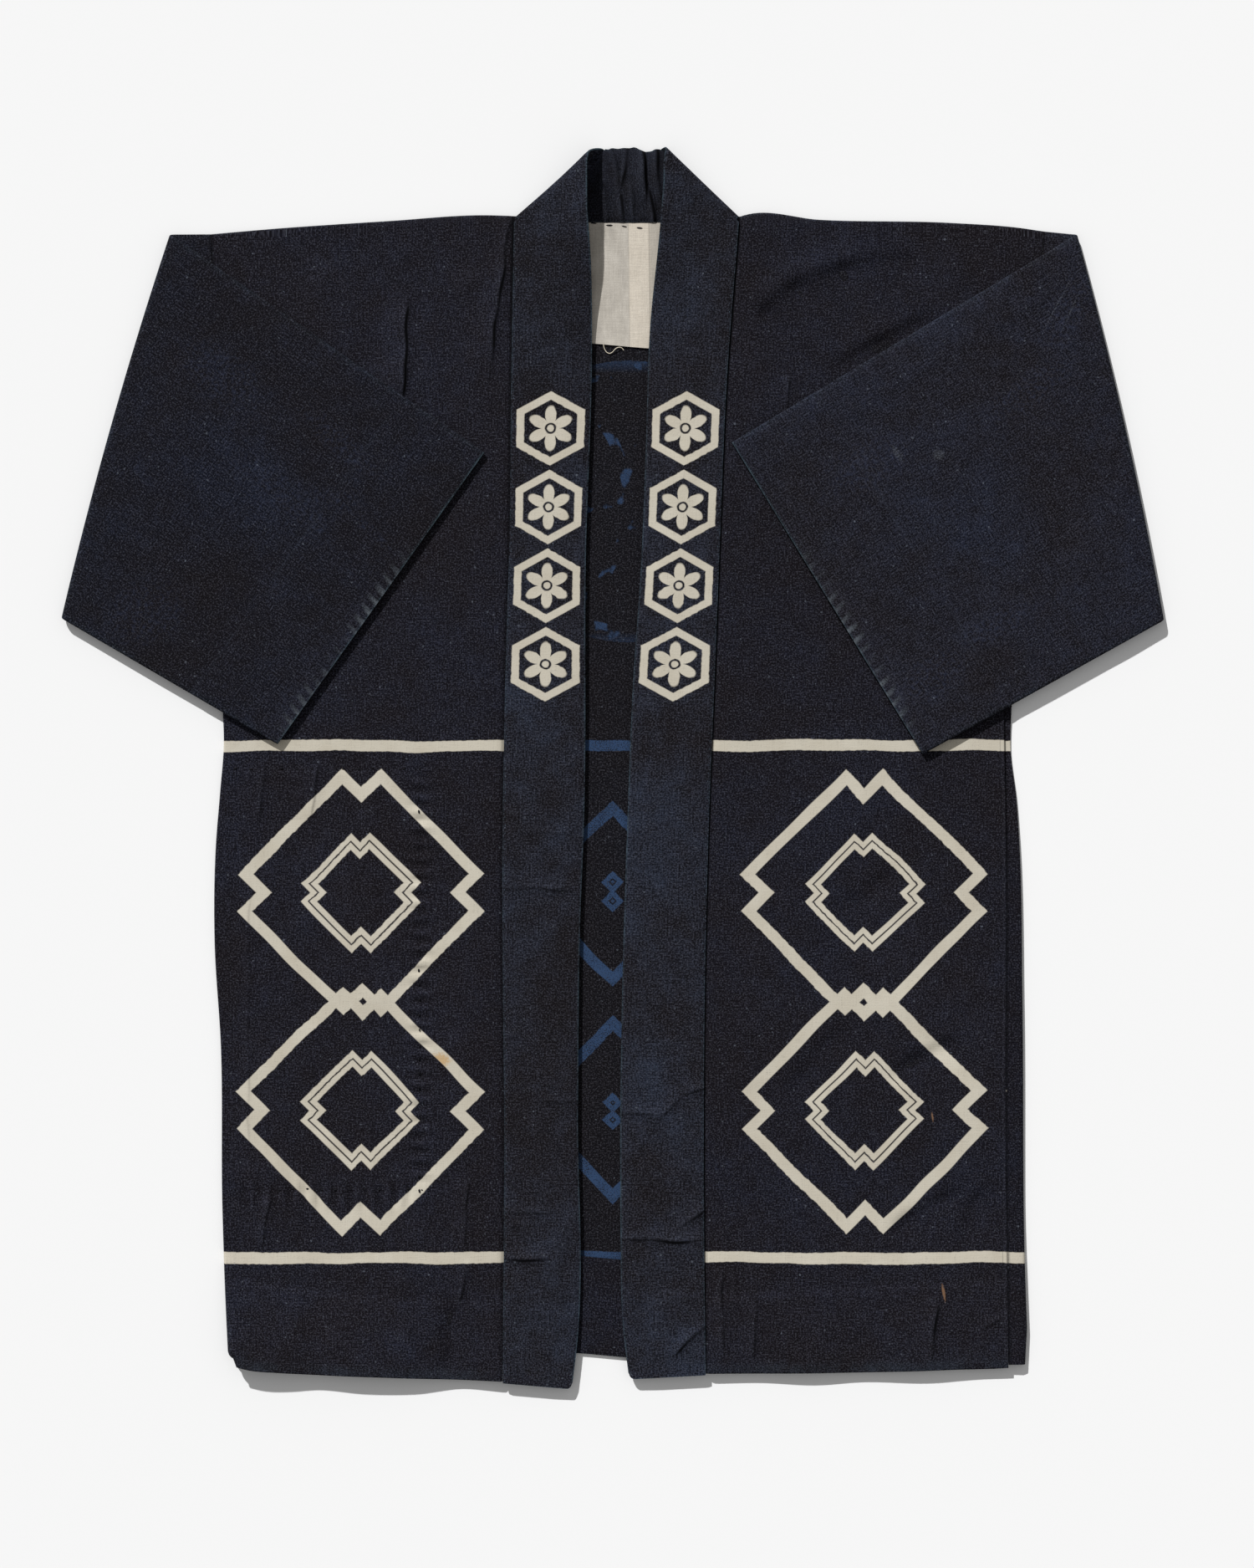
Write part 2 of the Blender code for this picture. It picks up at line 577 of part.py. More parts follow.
def thicken(name, grid, thickness, material, mask=None, ring=False):
    """Make an object whose wall runs through the points of a sheet."""
    row_count, column_count = grid.shape[:2]
    cells_across = column_count if ring else column_count - 1
    if mask is None:
        mask = np.ones((row_count - 1, cells_across), bool)
    thickness = np.broadcast_to(np.asarray(thickness, float), (row_count, column_count))

    def neighbour(i, j, di, dj):
        """The next point along a row or column that is joined to this one by cloth."""
        i2 = i + di
        j2 = (j + dj) % column_count if ring else j + dj
        if not (0 <= i2 < row_count and 0 <= j2 < column_count):
            return grid[i, j]
        for a in {min(i, i2), min(i, i2) - 1} if di == 0 else {min(i, i2)}:
            for b in {j if dj > 0 else j2} if dj else {j, j - 1}:
                b = b % cells_across if ring else b
                if 0 <= a < row_count - 1 and 0 <= b < cells_across and mask[a, b]:
                    return grid[i2, j2]
        return grid[i, j]

    mesh = bmesh.new()
    walls = {}

    def corner(i, j):
        if ring:
            j = j % column_count
        if (i, j) not in walls:
            down = neighbour(i, j, 1, 0) - neighbour(i, j, -1, 0)
            across = neighbour(i, j, 0, 1) - neighbour(i, j, 0, -1)
            normal = np.cross(down, across)
            normal = normal / np.linalg.norm(normal)
            half = normal * thickness[i, j] / 2
            walls[(i, j)] = tuple(mesh.verts.new((grid[i, j] + offset) * MM)
                                  for offset in (half, -half))
        return walls[(i, j)]

    def has(i, j):
        if ring:
            j = j % cells_across
        return 0 <= i < row_count - 1 and 0 <= j < cells_across and mask[i, j]

    for i in range(row_count - 1):
        for j in range(cells_across):
            if not mask[i, j]:
                continue
            a, b, c, d = corner(i, j), corner(i + 1, j), corner(i + 1, j + 1), corner(i, j + 1)
            mesh.faces.new((a[0], b[0], c[0], d[0]))
            mesh.faces.new((d[1], c[1], b[1], a[1]))
            edges = ((a, b, has(i, j - 1)), (b, c, has(i + 1, j)),
                     (c, d, has(i, j + 1)), (d, a, has(i - 1, j)))
            for start, end, joined in edges:
                if not joined:
                    mesh.faces.new((end[0], start[0], start[1], end[1]))
    bmesh.ops.recalc_face_normals(mesh, faces=mesh.faces)
    data = bpy.data.meshes.new(name)
    mesh.to_mesh(data)
    mesh.free()
    data.materials.append(material)
    data.shade_smooth()
    data.set_sharp_from_angle(angle=CREASE_ANGLE)
    piece = bpy.data.objects.new(name, data)
    bpy.context.scene.collection.objects.link(piece)
    return piece


def cloth(name, colour):
    """A matt cloth material."""
    material = bpy.data.materials.new(name)
    material.use_nodes = True
    shader = material.node_tree.nodes["Principled BSDF"]
    shader.inputs["Base Color"].default_value = (*colour, 1.0)
    shader.inputs["Roughness"].default_value = CLOTH_ROUGHNESS
    shader.inputs["Metallic"].default_value = 0.0
    material.diffuse_color = (*colour, 1.0)
    return material


def main():
    for thing in list(bpy.data.objects):
        bpy.data.objects.remove(thing, do_unlink=True)
    body_cloth = cloth("indigo_body", INDIGO_BODY)
    sleeve_cloth = cloth("indigo_sleeve", INDIGO_SLEEVE)
    band_cloth = cloth("indigo_band", INDIGO_BAND)
    undyed_cloth = cloth("undyed_cotton", UNDYED)

    grid, mask = body_sheet(RIGHT, BACK_LEVELS, tail_on_front=True)
    thicken("body_right", grid, CLOTH, body_cloth, mask=mask)
    grid, mask = body_sheet(LEFT, WRAP_BACK_LEVELS, tail_on_front=False)
    thicken("body_left", grid, CLOTH, body_cloth, mask=mask)
    thicken("sleeve_right", sleeve_sheet(RIGHT), CLOTH, sleeve_cloth, ring=True)
    thicken("sleeve_left", sleeve_sheet(LEFT), CLOTH, sleeve_cloth, ring=True)
    thicken("collar", collar_sheet(), BAND_THICKNESS, band_cloth)
    thicken("neck_patch", patch_sheet(), CLOTH, undyed_cloth)


main()
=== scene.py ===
# %% [markdown]
# # A happi coat, laid flat
# A happi is a straight Japanese work coat of indigo cotton, sewn from narrow-loom cloth with
# almost no shaping. Here it lies on its back with both sleeves folded forward. The packed
# solids give its size and place. This script lays a finer, thinner cloth on their form, and
# then dyes, prints, wears and stitches it. Lengths in the tables are millimetres.

# %% Load the imported model and keep its parts where they lie
import math

import bpy
import numpy as np
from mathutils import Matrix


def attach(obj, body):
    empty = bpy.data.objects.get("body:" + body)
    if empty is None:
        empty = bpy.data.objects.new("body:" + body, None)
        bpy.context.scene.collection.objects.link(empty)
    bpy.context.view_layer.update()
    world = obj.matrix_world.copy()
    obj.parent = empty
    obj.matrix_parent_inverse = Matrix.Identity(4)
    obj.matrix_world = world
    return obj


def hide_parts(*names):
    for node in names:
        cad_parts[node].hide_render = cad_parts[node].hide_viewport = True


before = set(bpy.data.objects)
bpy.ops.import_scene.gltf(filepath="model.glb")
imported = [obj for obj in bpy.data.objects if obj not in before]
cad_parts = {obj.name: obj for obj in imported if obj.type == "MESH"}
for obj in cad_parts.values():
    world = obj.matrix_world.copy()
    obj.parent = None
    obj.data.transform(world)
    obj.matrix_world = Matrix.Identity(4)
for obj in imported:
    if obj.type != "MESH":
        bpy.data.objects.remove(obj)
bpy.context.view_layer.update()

MM = 0.001

# %% [markdown]
# ## The camera
# The coat was photographed from straight above. A long lens keeps the thin cloth free of
# perspective, and the frame takes in about 1.2 m from top to bottom.

# %% Camera
VIEW_CENTRE = (0.0110, -0.0129)
VIEW_HEIGHT = 1.2094
LENS = 80.0
SENSOR = 36.0


def put(name, data):
    """Put a new object with this data in the scene."""
    made = bpy.data.objects.new(name, data)
    bpy.context.scene.collection.objects.link(made)
    return made


camera_data = bpy.data.cameras.new("camera")
camera_data.lens = LENS
camera_data.sensor_width = SENSOR
camera = put("camera", camera_data)
camera.location = (*VIEW_CENTRE, VIEW_HEIGHT * LENS / SENSOR)
bpy.context.scene.camera = camera
print("camera height:", round(camera.location.z, 3))

# %% [markdown]
# ## Floor and light
# A pale sheet of card takes the shadows. One low lamp at the upper left rakes across the
# cloth, so that every crease shows, and an even sky fills the rest.

# %% Floor and light
FLOOR_TONE = 0.80
FLOOR_Z = -0.0004
FLOOR_REACH = 4.0
SUN_STRENGTH = 4.55
SKY_STRENGTH = 0.37
SUN_ELEVATION = math.radians(33.0)
SUN_HEADING = math.atan2(-0.89, 0.45)     # the way the light travels, seen from above
SUN_SPREAD = math.radians(1.6)

floor_mesh = bpy.data.meshes.new("floor")
corners = [(x * FLOOR_REACH, y * FLOOR_REACH, FLOOR_Z)
           for x, y in ((-1, -1), (1, -1), (1, 1), (-1, 1))]
floor_mesh.from_pydata(corners, [], [(0, 1, 2, 3)])
floor = put("floor", floor_mesh)
card = bpy.data.materials.new("pale_card")
card.use_nodes = True
card_inputs = card.node_tree.nodes["Principled BSDF"].inputs
card_inputs["Base Color"].default_value = (FLOOR_TONE, FLOOR_TONE, FLOOR_TONE, 1)
card_inputs["Roughness"].default_value = 1.0
card_inputs["Specular IOR Level"].default_value = 0.0
floor_mesh.materials.append(card)

sun_data = bpy.data.lights.new("sun", "SUN")
sun_data.energy = SUN_STRENGTH
sun_data.angle = SUN_SPREAD
sun = put("sun", sun_data)
sun.rotation_euler = (0, math.pi / 2 - SUN_ELEVATION, SUN_HEADING + math.pi)

world = bpy.data.worlds.new("studio")
world.use_nodes = True
sky = world.node_tree.nodes["Background"].inputs
sky["Color"].default_value = (1, 1, 1, 1)
sky["Strength"].default_value = SKY_STRENGTH
bpy.context.scene.world = world
bpy.context.scene.view_settings.view_transform = "Standard"
print("floor, lamp and sky are set")

# %% [markdown]
# ## Sizes of the coat
# The outline of each side is a short table of places along its seams and folds. They are the
# sizes that a maker would chalk on the cloth as it lies. A smooth curve runs through each
# table, because cloth has no corners between its seams.

# %% Sizes: cloth, layers and the two sides
CLOTH = 0.8            # thickness of the body, sleeve and patch cloth
BAND = 2.4             # thickness of the doubled collar band
BAND_EDGE = 1.2        # the band's thickness at its two edges
SEAM = 0.25            # gap at a sewn seam
CENTRE_SEAM = 0.04     # and at the centre-back seam, which lets no light through
LAYER = 1.4            # from the middle of one layer to the middle of the next
BACK_Z = 0.5           # middle of the back, and of the layers above it
ARMHOLE_Z = 2.6
FRONT_Z = 3.0
RAISED_Z = 4.8
BAND_Z = 5.2
BAND_BACK_Z = 1.3
SLEEVE_FOLD_Z = 4.25

UNDERARM_Y = 113.0
SHOULDER_Y = 412.0
NECK_Y = 424.0
FOOT_Y = -460.0
HEM_Y = -466.0
HEM_DEPTH = 62.0
BACK_HEM_DEPTH = 74.0
TOP_BEND_Y = 250.0
BOTTOM_BEND_Y = -300.0
COLLAR_LINE_X = 85.0

# Columns: y, x in a side's first four tables, and x, y in the next two. The foot, the crease
# and the turn are two points each. The neck's rise and the seam's depth go by y.
# The seam's depth also sets how dark the painted shadow along the collar seam's groove is
RIGHT = {
    "sign": -1,
    "collar_seam": ((-474, -84.6), (-295, -83.5), (-60, -84.8), (63, -82.8), (186, -79.3),
                    (290, -78.2), (424, -75.9)),
    "collar_edge": ((-478.6, -31.6), (-451, -28.1), (-260, -26.8), (-122, -25.2),
                    (-40, -22.1), (168, -20.6), (314, -16.1), (388, -16.8), (430, -19.6)),
    "outline": ((-460, -296), (-400, -299), (-340, -301), (-214, -302.2), (-134, -307),
                (-60, -306), (-20, -302.8), (18, -299.9), (50, -301), (113, -303.8)),
    "side_seam": ((-460, -289), (113, -297.5), (410.5, -310.0)),
    "shoulder": ((-310, 410.8), (-269, 414.4), (-173, 421), (-98, 425.4), (-75, 424.7)),
    "front_hem": ((-297, -458.6), (-279, -463.4), (-257, -465.4), (-166, -469.6),
                  (-86, -472.9)),
    "foot": ((-84.6, -474.0), (-31.6, -478.6)),
    "crease": ((-75.0, 424.0), (-10.3, 479.0)),
    "turn": ((-18.5, 470.0), (-6.5, 475.8)),
    "neck_rise": ((290, 0.0), (329, 0.6), (349, 2.6), (377, 7.6), (401, 12.6), (418, 15.0),
                  (470, 16.2), (480, 16.2)),
    "seam_depth": ((-470, 0.4), (-200, 0.5), (150, 0.6), (300, 0.8), (420, 1.2)),
    "pale_edge": 0.2,
    "sleeve_tone": -0.9,
    "side_seam_depth": 0.0,
    "corner": 6.0,
    "facing": 73.0,
    "sleeve": {"fold_top": (-340.6, 411.8), "fold_bottom": (-424.4, 115.8),
               "cuff_top": (-98.7, 242.2), "cuff_bottom": (-258.0, 17.7)},
}
LEFT = {
    "sign": 1,
    "collar_seam": ((-467.6, 71.6), (-382, 70.5), (-159, 71.1), (-37, 74.2), (63, 78.2),
                    (186, 83.0), (290, 87.4), (424.4, 97.5)),
    "collar_edge": ((-472, 12.7), (-427, 7.6), (-360, 6.1), (-203, 6.7), (-50, 11.0),
                    (79, 16.5), (143, 21.1), (245, 25.5), (339, 28.8), (417, 36.6),
                    (450, 39.2)),
    "outline": ((-462, 320.4), (-382, 317.7), (-182, 315.9), (-53, 313.3), (-26, 311.5),
                (14, 306.9), (47, 307.6), (113, 310.9)),
    "side_seam": ((-462, 304.6), (-280, 302.8), (-40, 302.8), (36, 301.6), (113, 303.5),
                  (412.5, 333.1)),
    "shoulder": ((98, 424.4), (104, 426), (159, 422), (260, 419.6), (314, 415.7),
                 (333.1, 412.9)),
    "front_hem": ((72, -467), (147, -466.5), (214, -465.4), (258, -463.9), (305, -462.3),
                  (320, -460.8)),
    "foot": ((71.6, -467.8), (12.7, -471.0)),
    "crease": ((97.2, 424.2), (40.0, 478.0)),
    "turn": ((40.3, 473.3), (36.8, 475.9)),
    "neck_rise": ((300, 0.0), (335, 0.1), (365, 1.0), (392, 3.5), (418, 6.5), (474, 8.5),
                  (480, 8.5)),
    "seam_depth": ((-470, 0.8), (-200, 0.8), (150, 1.0), (300, 1.1), (420, 1.3)),
    "pale_edge": 0.7,
    "sleeve_tone": 1.3,
    "side_seam_depth": 0.8,
    "corner": 2.5,
    "facing": 79.0,
    "sleeve": {"fold_top": (357.3, 411.8), "fold_bottom": (424.4, 114.5),
               "cuff_top": (91.6, 249.9), "cuff_bottom": (238.7, 10.0)},
}
# Columns: x, y, and y, x for the centre seam
BACK_HEM = ((-297, -456.5), (-150, -454), (-26, -451.8), (10, -454.9), (150, -454),
            (320, -460.5))
CENTRE_BACK = ((-455, 0.0), (-330, 0.8), (-180, 1.8), (0, 3.2), (113, 5.6), (250, 11.0),
               (350, 12.6), (420, 12.6))
NECKLINE = ((-76, 421.4), (-40, 420.6), (12, 420.0), (60, 420.6), (98, 421.6))


def read(table, at):
    """The second column of a table at values of its first, on a smooth curve through it."""
    firsts, seconds = np.array(table, float).T
    slopes = np.gradient(seconds, firsts)
    at = np.clip(np.asarray(at, float), firsts[0], firsts[-1])
    i = np.clip(np.searchsorted(firsts, at) - 1, 0, len(firsts) - 2)
    step = firsts[i + 1] - firsts[i]
    t = (at - firsts[i]) / step
    return (seconds[i] * (1 + 2 * t) * (1 - t) ** 2 + seconds[i + 1] * t * t * (3 - 2 * t)
            + step * t * (1 - t) * (slopes[i] * (1 - t) - slopes[i + 1] * t))


def ease(share):
    """A smooth step from 0 to 1."""
    share = np.clip(share, 0.0, 1.0)
    return share * share * (3.0 - 2.0 * share)


def bell(distance, width):
    """1 at a distance of 0, falling away smoothly to both sides."""
    return np.exp(-(distance / width) ** 2)


def between(value, low, high, soft):
    """1 between two values, with a soft step inside each."""
    return ease((value - low) / soft) * ease((high - value) / soft)


print("coat length, shoulder to hem:", round((SHOULDER_Y - HEM_Y) / 10), "cm")

# %% [markdown]
# ## Creases
# Cotton that has been folded and worn keeps a few soft ridges and troughs. Each one is a line
# with a height and a half width, and it fades at both ends. The largest are in the packed
# solids too, and the finer ones are added here.

# %% Crease tables
# Columns: x and y of one end, x and y of the other, rise, half width
FRONT_FOLDS = (
    (-157, 352, -163, 270, 1.3, 15),
    (-84, 400, -112, 296, 0.8, 11),
    (-205, 398, -250, 330, 0.8, 20),
    (-236, -40, -170, -210, 1.1, 26),
    (-120, -60, -132, -330, 0.9, 22),
    (-275, -190, -262, -350, 1.0, 20),
    (112, 352, 190, 402, 1.2, 14),
    (105, 330, 122, 262, 0.8, 13),
    (230, 398, 290, 330, 0.9, 20),
    (118, -20, 112, -250, 0.9, 24),
    (196, -70, 246, -230, 1.2, 26),
    (282, -120, 272, -320, 0.8, 18),
)
# The finer ones run from left to right or upwards, and are uneven across. Columns: x and y
# of one end, x and y of the other, rise, half width above or to the left, below or right
FRONT_CREASES = (
    (-163, 262, -157.5, 372, 1.9, 15, 2.6),
    (-98, 286, -78, 434, 1.4, 7, 2.6),
    (-108, 286, -93, 374, 0.7, 6, 4),
    (-126, 360, -99, 381, 1.0, 10, 5),
    (-176, 384, -150, 402, 0.5, 9, 6),
    (-238, 352, -214, 392, 0.5, 10, 6),
    (-274, -47, -268, 6, 0.9, 9, 3.2),
    (-234, -44, -225, 8, 0.9, 10, 3.2),
    (-190, -60, -180, -8, 0.4, 10, 5),
    (-271, -374, -263, -326, 1.0, 9, 2.8),
    (-153, -376, -141, -308, 0.8, 13, 5),
    (-114, -378, -112, -308, 0.9, 9, 3.2),
    (-119, -420, -111, -378, 0.9, 7, 3.2),
    (-127, -472, -124, -402, -1.7, 6, 5),
    (-160, -470, -158, -424, 0.7, 9, 5),
    (-216, -466, -213, -410, 0.7, 12, 6),
    (-248, -464, -246, -404, 0.6, 10, 6),
    (-281.5, -340, -280.5, -52, 0.45, 3.2, 2.4),
    (-252, -130, -225, -112, 0.5, 9, 6),
    (-230, -300, -200, -270, 0.4, 12, 8),
    (106, 341, 150, 377, -2.1, 4.5, 20),
    (132, 366, 192, 390, -1.9, 4.5, 20),
    (166, 384, 244, 392, -1.2, 5, 20),
    (104, 356, 150, 390, 0.9, 12, 6),
    (138, 380, 200, 402, 0.7, 12, 6),
    (162, 302, 252, 352, -2.0, 4.5, 16),
    (160, 312, 246, 358, 0.6, 10, 6),
    (106, 300, 112, 350, 0.5, 7, 6),
    (134, 274, 136, 306, 0.9, 7, 3.5),
    (260, 372, 300, 352, -0.6, 10, 12),
    (172, -112, 225, -75, -1.3, 5, 13),
    (130, -260, 184, -190, -1.4, 6, 13),
    (206, -242, 274, -204, -1.9, 4, 11),
    (206, -362, 273, -322, -1.9, 4, 11),
    (262, -370, 296, -312, -1.3, 5, 10),
    (92, -206, 118, -196, 0.5, 6, 5),
    (84, -232, 120, -244, 0.5, 5, 6),
    (84.5, -462, 84, -372, 0.9, 6, 3),
    (93, -420, 95, -380, 0.5, 4, 3),
    (108, -464, 110, -398, 0.9, 6, 3.2),
    (160, -466, 158, -420, 0.5, 9, 6),
    (245, -464, 250, -400, 1.2, 9, 3.6),
    (284, -434, 301, -423, 0.8, 4, 3),
)
BAND_FOLDS = (
    (-78, -366, -36, -380, 0.9, 10),
    (-70, -250, -30, -230, 0.6, 14),
    (-74, 330, -24, 352, 0.6, 12),
    (44, -365, 70, -371, 1.2, 8),
    (22, -300, 60, -318, 0.9, 10),
    (24, -420, 62, -402, 0.9, 11),
    (30, 214, 74, 236, 0.6, 14),
)
BAND_CREASES = (
    (-88, -93, -22, -93.5, 0.8, 7, 2.4),
    (-86, -37, -58, -36, 0.5, 4, 2.6),
    (-88, -50, -24, -50, 0.4, 4, 2.6),
    (-54, -9, -22, 9, 0.4, 4, 2.2),
    (-60, -257, -24, -256, 0.7, 5, 2.6),
    (-88, -208, -56, -206, 0.3, 5, 3),
    (-88, -343, -44, -343, 0.7, 5, 2.6),
    (-86, -354, -48, -351, 0.5, 3.4, 2.2),
    (-90, -377.5, -42, -379, 1.1, 5, 2.2),
    (-60, -424, -26, -330, 0.8, 2.6, 6),
    (-90, -415, -24, -425, 0.5, 2.6, 5),
    (-70, -470, -64, -434, 0.4, 5, 4),
    (32, -275, 56, -250, 1.0, 6, 2.6),
    (52, -253, 76, -245, 0.8, 6, 2.6),
    (2, -266, 38, -266, 0.7, 5, 2.6),
    (28, -269, 70, -298, 0.6, 2.6, 5),
    (46, -359, 74, -336, 1.0, 6, 2.6),
    (0, -363, 78, -364, 1.2, 6, 2.2),
    (42, -455, 74, -427, 1.2, 6, 2.6),
    (2, -410.5, 78, -407.5, 0.4, 2.6, 4),
    (16, -330, 34, -352, 0.4, 4, 4),
    (30, -150, 74, -120, 0.4, 6, 5),
    (52, 8, 78, 30, 0.4, 5, 4),
    (20, -60, 40, -44, 0.3, 6, 5),
    (-72, 300, -60, 372, 0.4, 6, 6),
    (60, 330, 84, 372, 0.4, 8, 6),
)
NECK_CREASES = (
    (26.6, 430, 19.6, 494, 2.8, 7, 1.8),
    (33.5, 410, 26.0, 450, 2.0, 5, 1.8),
    (12, 400, -2, 486, 1.2, 6, 3),
    (4, 440, 16, 496, 1.3, 5, 3),
    (36, 430, 33, 492, 1.2, 4, 2.4),
    (16, 414, 14, 456, 0.8, 3, 2.4),
    (-4, 410, -8, 460, 0.8, 5, 3),
)
# Columns: x, rise
HEM_LIFT = ((-300, 7.6), (-262, 6.8), (-232, 4.2), (-200, 5.6), (-160, 4.6), (-118, 0.2),
            (-86, 1.4), (0, 0.0), (72, 0.6), (110, 0.3), (150, 1.9), (190, 0.5), (240, 2.2),
            (285, 0.7), (320, 1.2))
HEM_LIFT_REACH = 95.0
COLLAR_SLOPE = 45.0
HEM_SLOPE_TOP = -330.0
HEM_SLOPE_BOTTOM = -400.0
ARMHOLE_SLOPE = 40.0
ARMHOLE_FROM_Y = 60.0
ARMHOLE_FADE = 60.0
FOLD_TAPER = 0.3
SHARP = 3.7               # a crease whose steep side is narrower than this leaves a line of painted shade
MARK_REACH = 5.5
CREASE_WAVE = 0.7         # how far a crease wanders from its line
NO_MARK = 40.0
MARK_SOFT = 3.0
LONG_WAVE = 11.0          # two waves along a crease, from crest to crest over 2 pi
SHORT_WAVE = 4.9
SHORT_SHARE = 0.6
PULSE = 6.5               # and a wave in its strength
PULSE_SHARE = 0.2


def beside(crease, x, y):
    """How far places lie across a crease, and its strength, which fades at its ends."""
    x0, y0, x1, y1 = crease[:4]
    run_x, run_y = x1 - x0, y1 - y0
    length = math.hypot(run_x, run_y)
    along = ((x - x0) * run_x + (y - y0) * run_y) / length
    across = ((x - x0) * run_y - (y - y0) * run_x) / length
    wave = np.sin(along / LONG_WAVE + x0) + SHORT_SHARE * np.sin(along / SHORT_WAVE + y0)
    strength = between(along, 0.0, length, FOLD_TAPER * length)
    pulse = 1.0 - PULSE_SHARE + PULSE_SHARE * np.sin(along / PULSE + y1)
    return across + CREASE_WAVE * wave, strength * pulse


def creases(table, x, y):
    """The height that a table of creases adds at points."""
    height = np.zeros(np.broadcast(x, y).shape)
    for crease in table:
        rise, before, after = crease[4], crease[5], crease[-1]
        across, strength = beside(crease, x, y)
        height += rise * strength * bell(across, np.where(across < 0, before, after))
    return height


def crease_marks(table, x, y):
    """The distance from the nearest sharp crease, and how deep it is there."""
    away = np.full(np.broadcast(x, y).shape, NO_MARK)
    depth = np.zeros(away.shape)
    for crease in table:
        rise, before, after = crease[4], crease[5], crease[-1]
        if min(before, after) > SHARP or rise < 0:
            continue
        across, strength = beside(crease, x, y)
        across = across if after <= before else -across
        nearer = (np.abs(across) < np.abs(away)) & (strength > 0)
        strength = strength * ease((MARK_REACH - np.abs(across)) / MARK_SOFT) * rise
        away = np.where(nearer, across, away)
        depth = np.where(nearer, strength, depth)
    return away, depth


print(len(FRONT_FOLDS) + len(FRONT_CREASES), "creases in the fronts,",
      len(BAND_FOLDS) + len(BAND_CREASES), "in the band and", len(NECK_CREASES), "at the neck")

# %% [markdown]
# ## The height of the fronts
# The fronts lie on the back with a little air between them. They rise beside the thick collar
# and over the turned-up hem, and sink to the armhole, where the sleeve is sewn on. The hem
# itself ripples and stands off the surface, which gives its broken shadow.

# %% Height of the front layer
LINING = {"left": -292.0, "right": -149.0, "top": -2.0, "bottom": -325.0, "rise": 0.35,
          "edge": 3.0}                 # a second cloth, stitched behind the right front
LINING_STITCH = 11.6                   # from stitch to stitch round it
LINING_PUCKER = 1.4
FRONT_DEPTH = 1.5
STITCH_LINE = ((-300, -392.0), (-168, -408.6), (-98.7, -410.5), (13.5, -408.6),
               (125, -403.4), (213.5, -397.6), (262.5, -395.7), (320, -394.0))
HEM_STEP = 0.7
HEM_STEP_EDGE = 3.0
HEM_STITCH = 33.0
SEAM_DIP = 1.3
SEAM_DIP_WIDTH = 1.8
SEAM_CLEAR = (1.0, 5.0)                # creases begin this far from the seam, over this far
HEM_PULL = 0.5                         # each hem stitch pulls the cloth in
HEM_PULL_AT = -0.5
HEM_PULL_WIDTH = 3.0
# Columns: how far the middle of the puffs is past the lining's edge, and their half width
PUFFS_BELOW = (5, 9.0)
PUFFS_BESIDE = (1, 7.0)
PUFF_END = 12                          # they fade over this length at their ends
PUFF_CORNER = 4


def front_height(side, x, y):
    """The middle of the front layer above the surface, without its fine relief."""
    beside_collar = bell(x - read(side["collar_seam"], y), COLLAR_SLOPE)
    over_hem = ease((HEM_SLOPE_TOP - y) / (HEM_SLOPE_TOP - HEM_SLOPE_BOTTOM))
    raised = 1.0 - (1.0 - beside_collar) * (1.0 - over_hem)
    height = FRONT_Z + (RAISED_Z - FRONT_Z) * raised + creases(FRONT_FOLDS, x, y)
    near_hem = 1.0 - ease((y - read(side["front_hem"], x)) / HEM_LIFT_REACH)
    height = height + read(HEM_LIFT, x) * near_hem
    at_sleeve = bell(x - read(side["side_seam"], y), ARMHOLE_SLOPE)
    at_sleeve = at_sleeve * ease((y - ARMHOLE_FROM_Y) / ARMHOLE_FADE)
    return height + (ARMHOLE_Z - height) * at_sleeve


def lining_puckers(x, y):
    """Puffs of cloth between the stitches along the lining's lower and inner edges."""
    left, right, top, bottom = (LINING[edge] for edge in ("left", "right", "top", "bottom"))
    below, below_width = PUFFS_BELOW
    beyond, beyond_width = PUFFS_BESIDE
    hangs = (np.cos(2 * math.pi * x / LINING_STITCH) * bell(bottom - y - below, below_width)
             * ease((x - left) / PUFF_END) * ease((right + PUFF_CORNER - x) / (2 * PUFF_CORNER)))
    pulls = (np.cos(2 * math.pi * y / LINING_STITCH) * bell(x - right - beyond, beyond_width)
             * between(y, bottom, top, PUFF_END))
    return hangs + pulls


def front_relief(side, x, y):
    """Fine creases, the turned-up hem, the dip at the collar and the lining's puckers."""
    from_collar = np.maximum(side["sign"] * (x - read(side["collar_seam"], y)), 0.0)
    clear = ease((from_collar - SEAM_CLEAR[0]) / SEAM_CLEAR[1])
    relief = FRONT_DEPTH * creases(FRONT_CREASES, x, y) * clear
    relief = relief - SEAM_DIP * bell(from_collar, SEAM_DIP_WIDTH)
    above_hem = y - read(STITCH_LINE, x)
    relief = relief + HEM_STEP * ease(-above_hem / HEM_STEP_EDGE)
    pull = np.cos(2 * math.pi * x / HEM_STITCH) ** 8
    relief = relief - HEM_PULL * pull * bell(above_hem - HEM_PULL_AT, HEM_PULL_WIDTH)
    inside = (between(x, LINING["left"], LINING["right"], LINING["edge"])
              * between(y, LINING["bottom"], LINING["top"], LINING["edge"]))
    return relief + LINING["rise"] * inside + LINING_PUCKER * lining_puckers(x, y)


print("front height at a chest point:", round(float(front_height(LEFT, 200.0, 200.0)), 2), "mm")

# %% [markdown]
# ## From a folded sheet to cloth
# A cut piece is a sheet of rows and columns through the middle of its cloth, folded as the
# coat lies. Its wall is made by moving every point out to both sides. Each point also keeps
# its place on the flat cloth, for the print and weave, and how worn it is.

# %% Half rolls and shells
SHARP_ANGLE = math.radians(50)


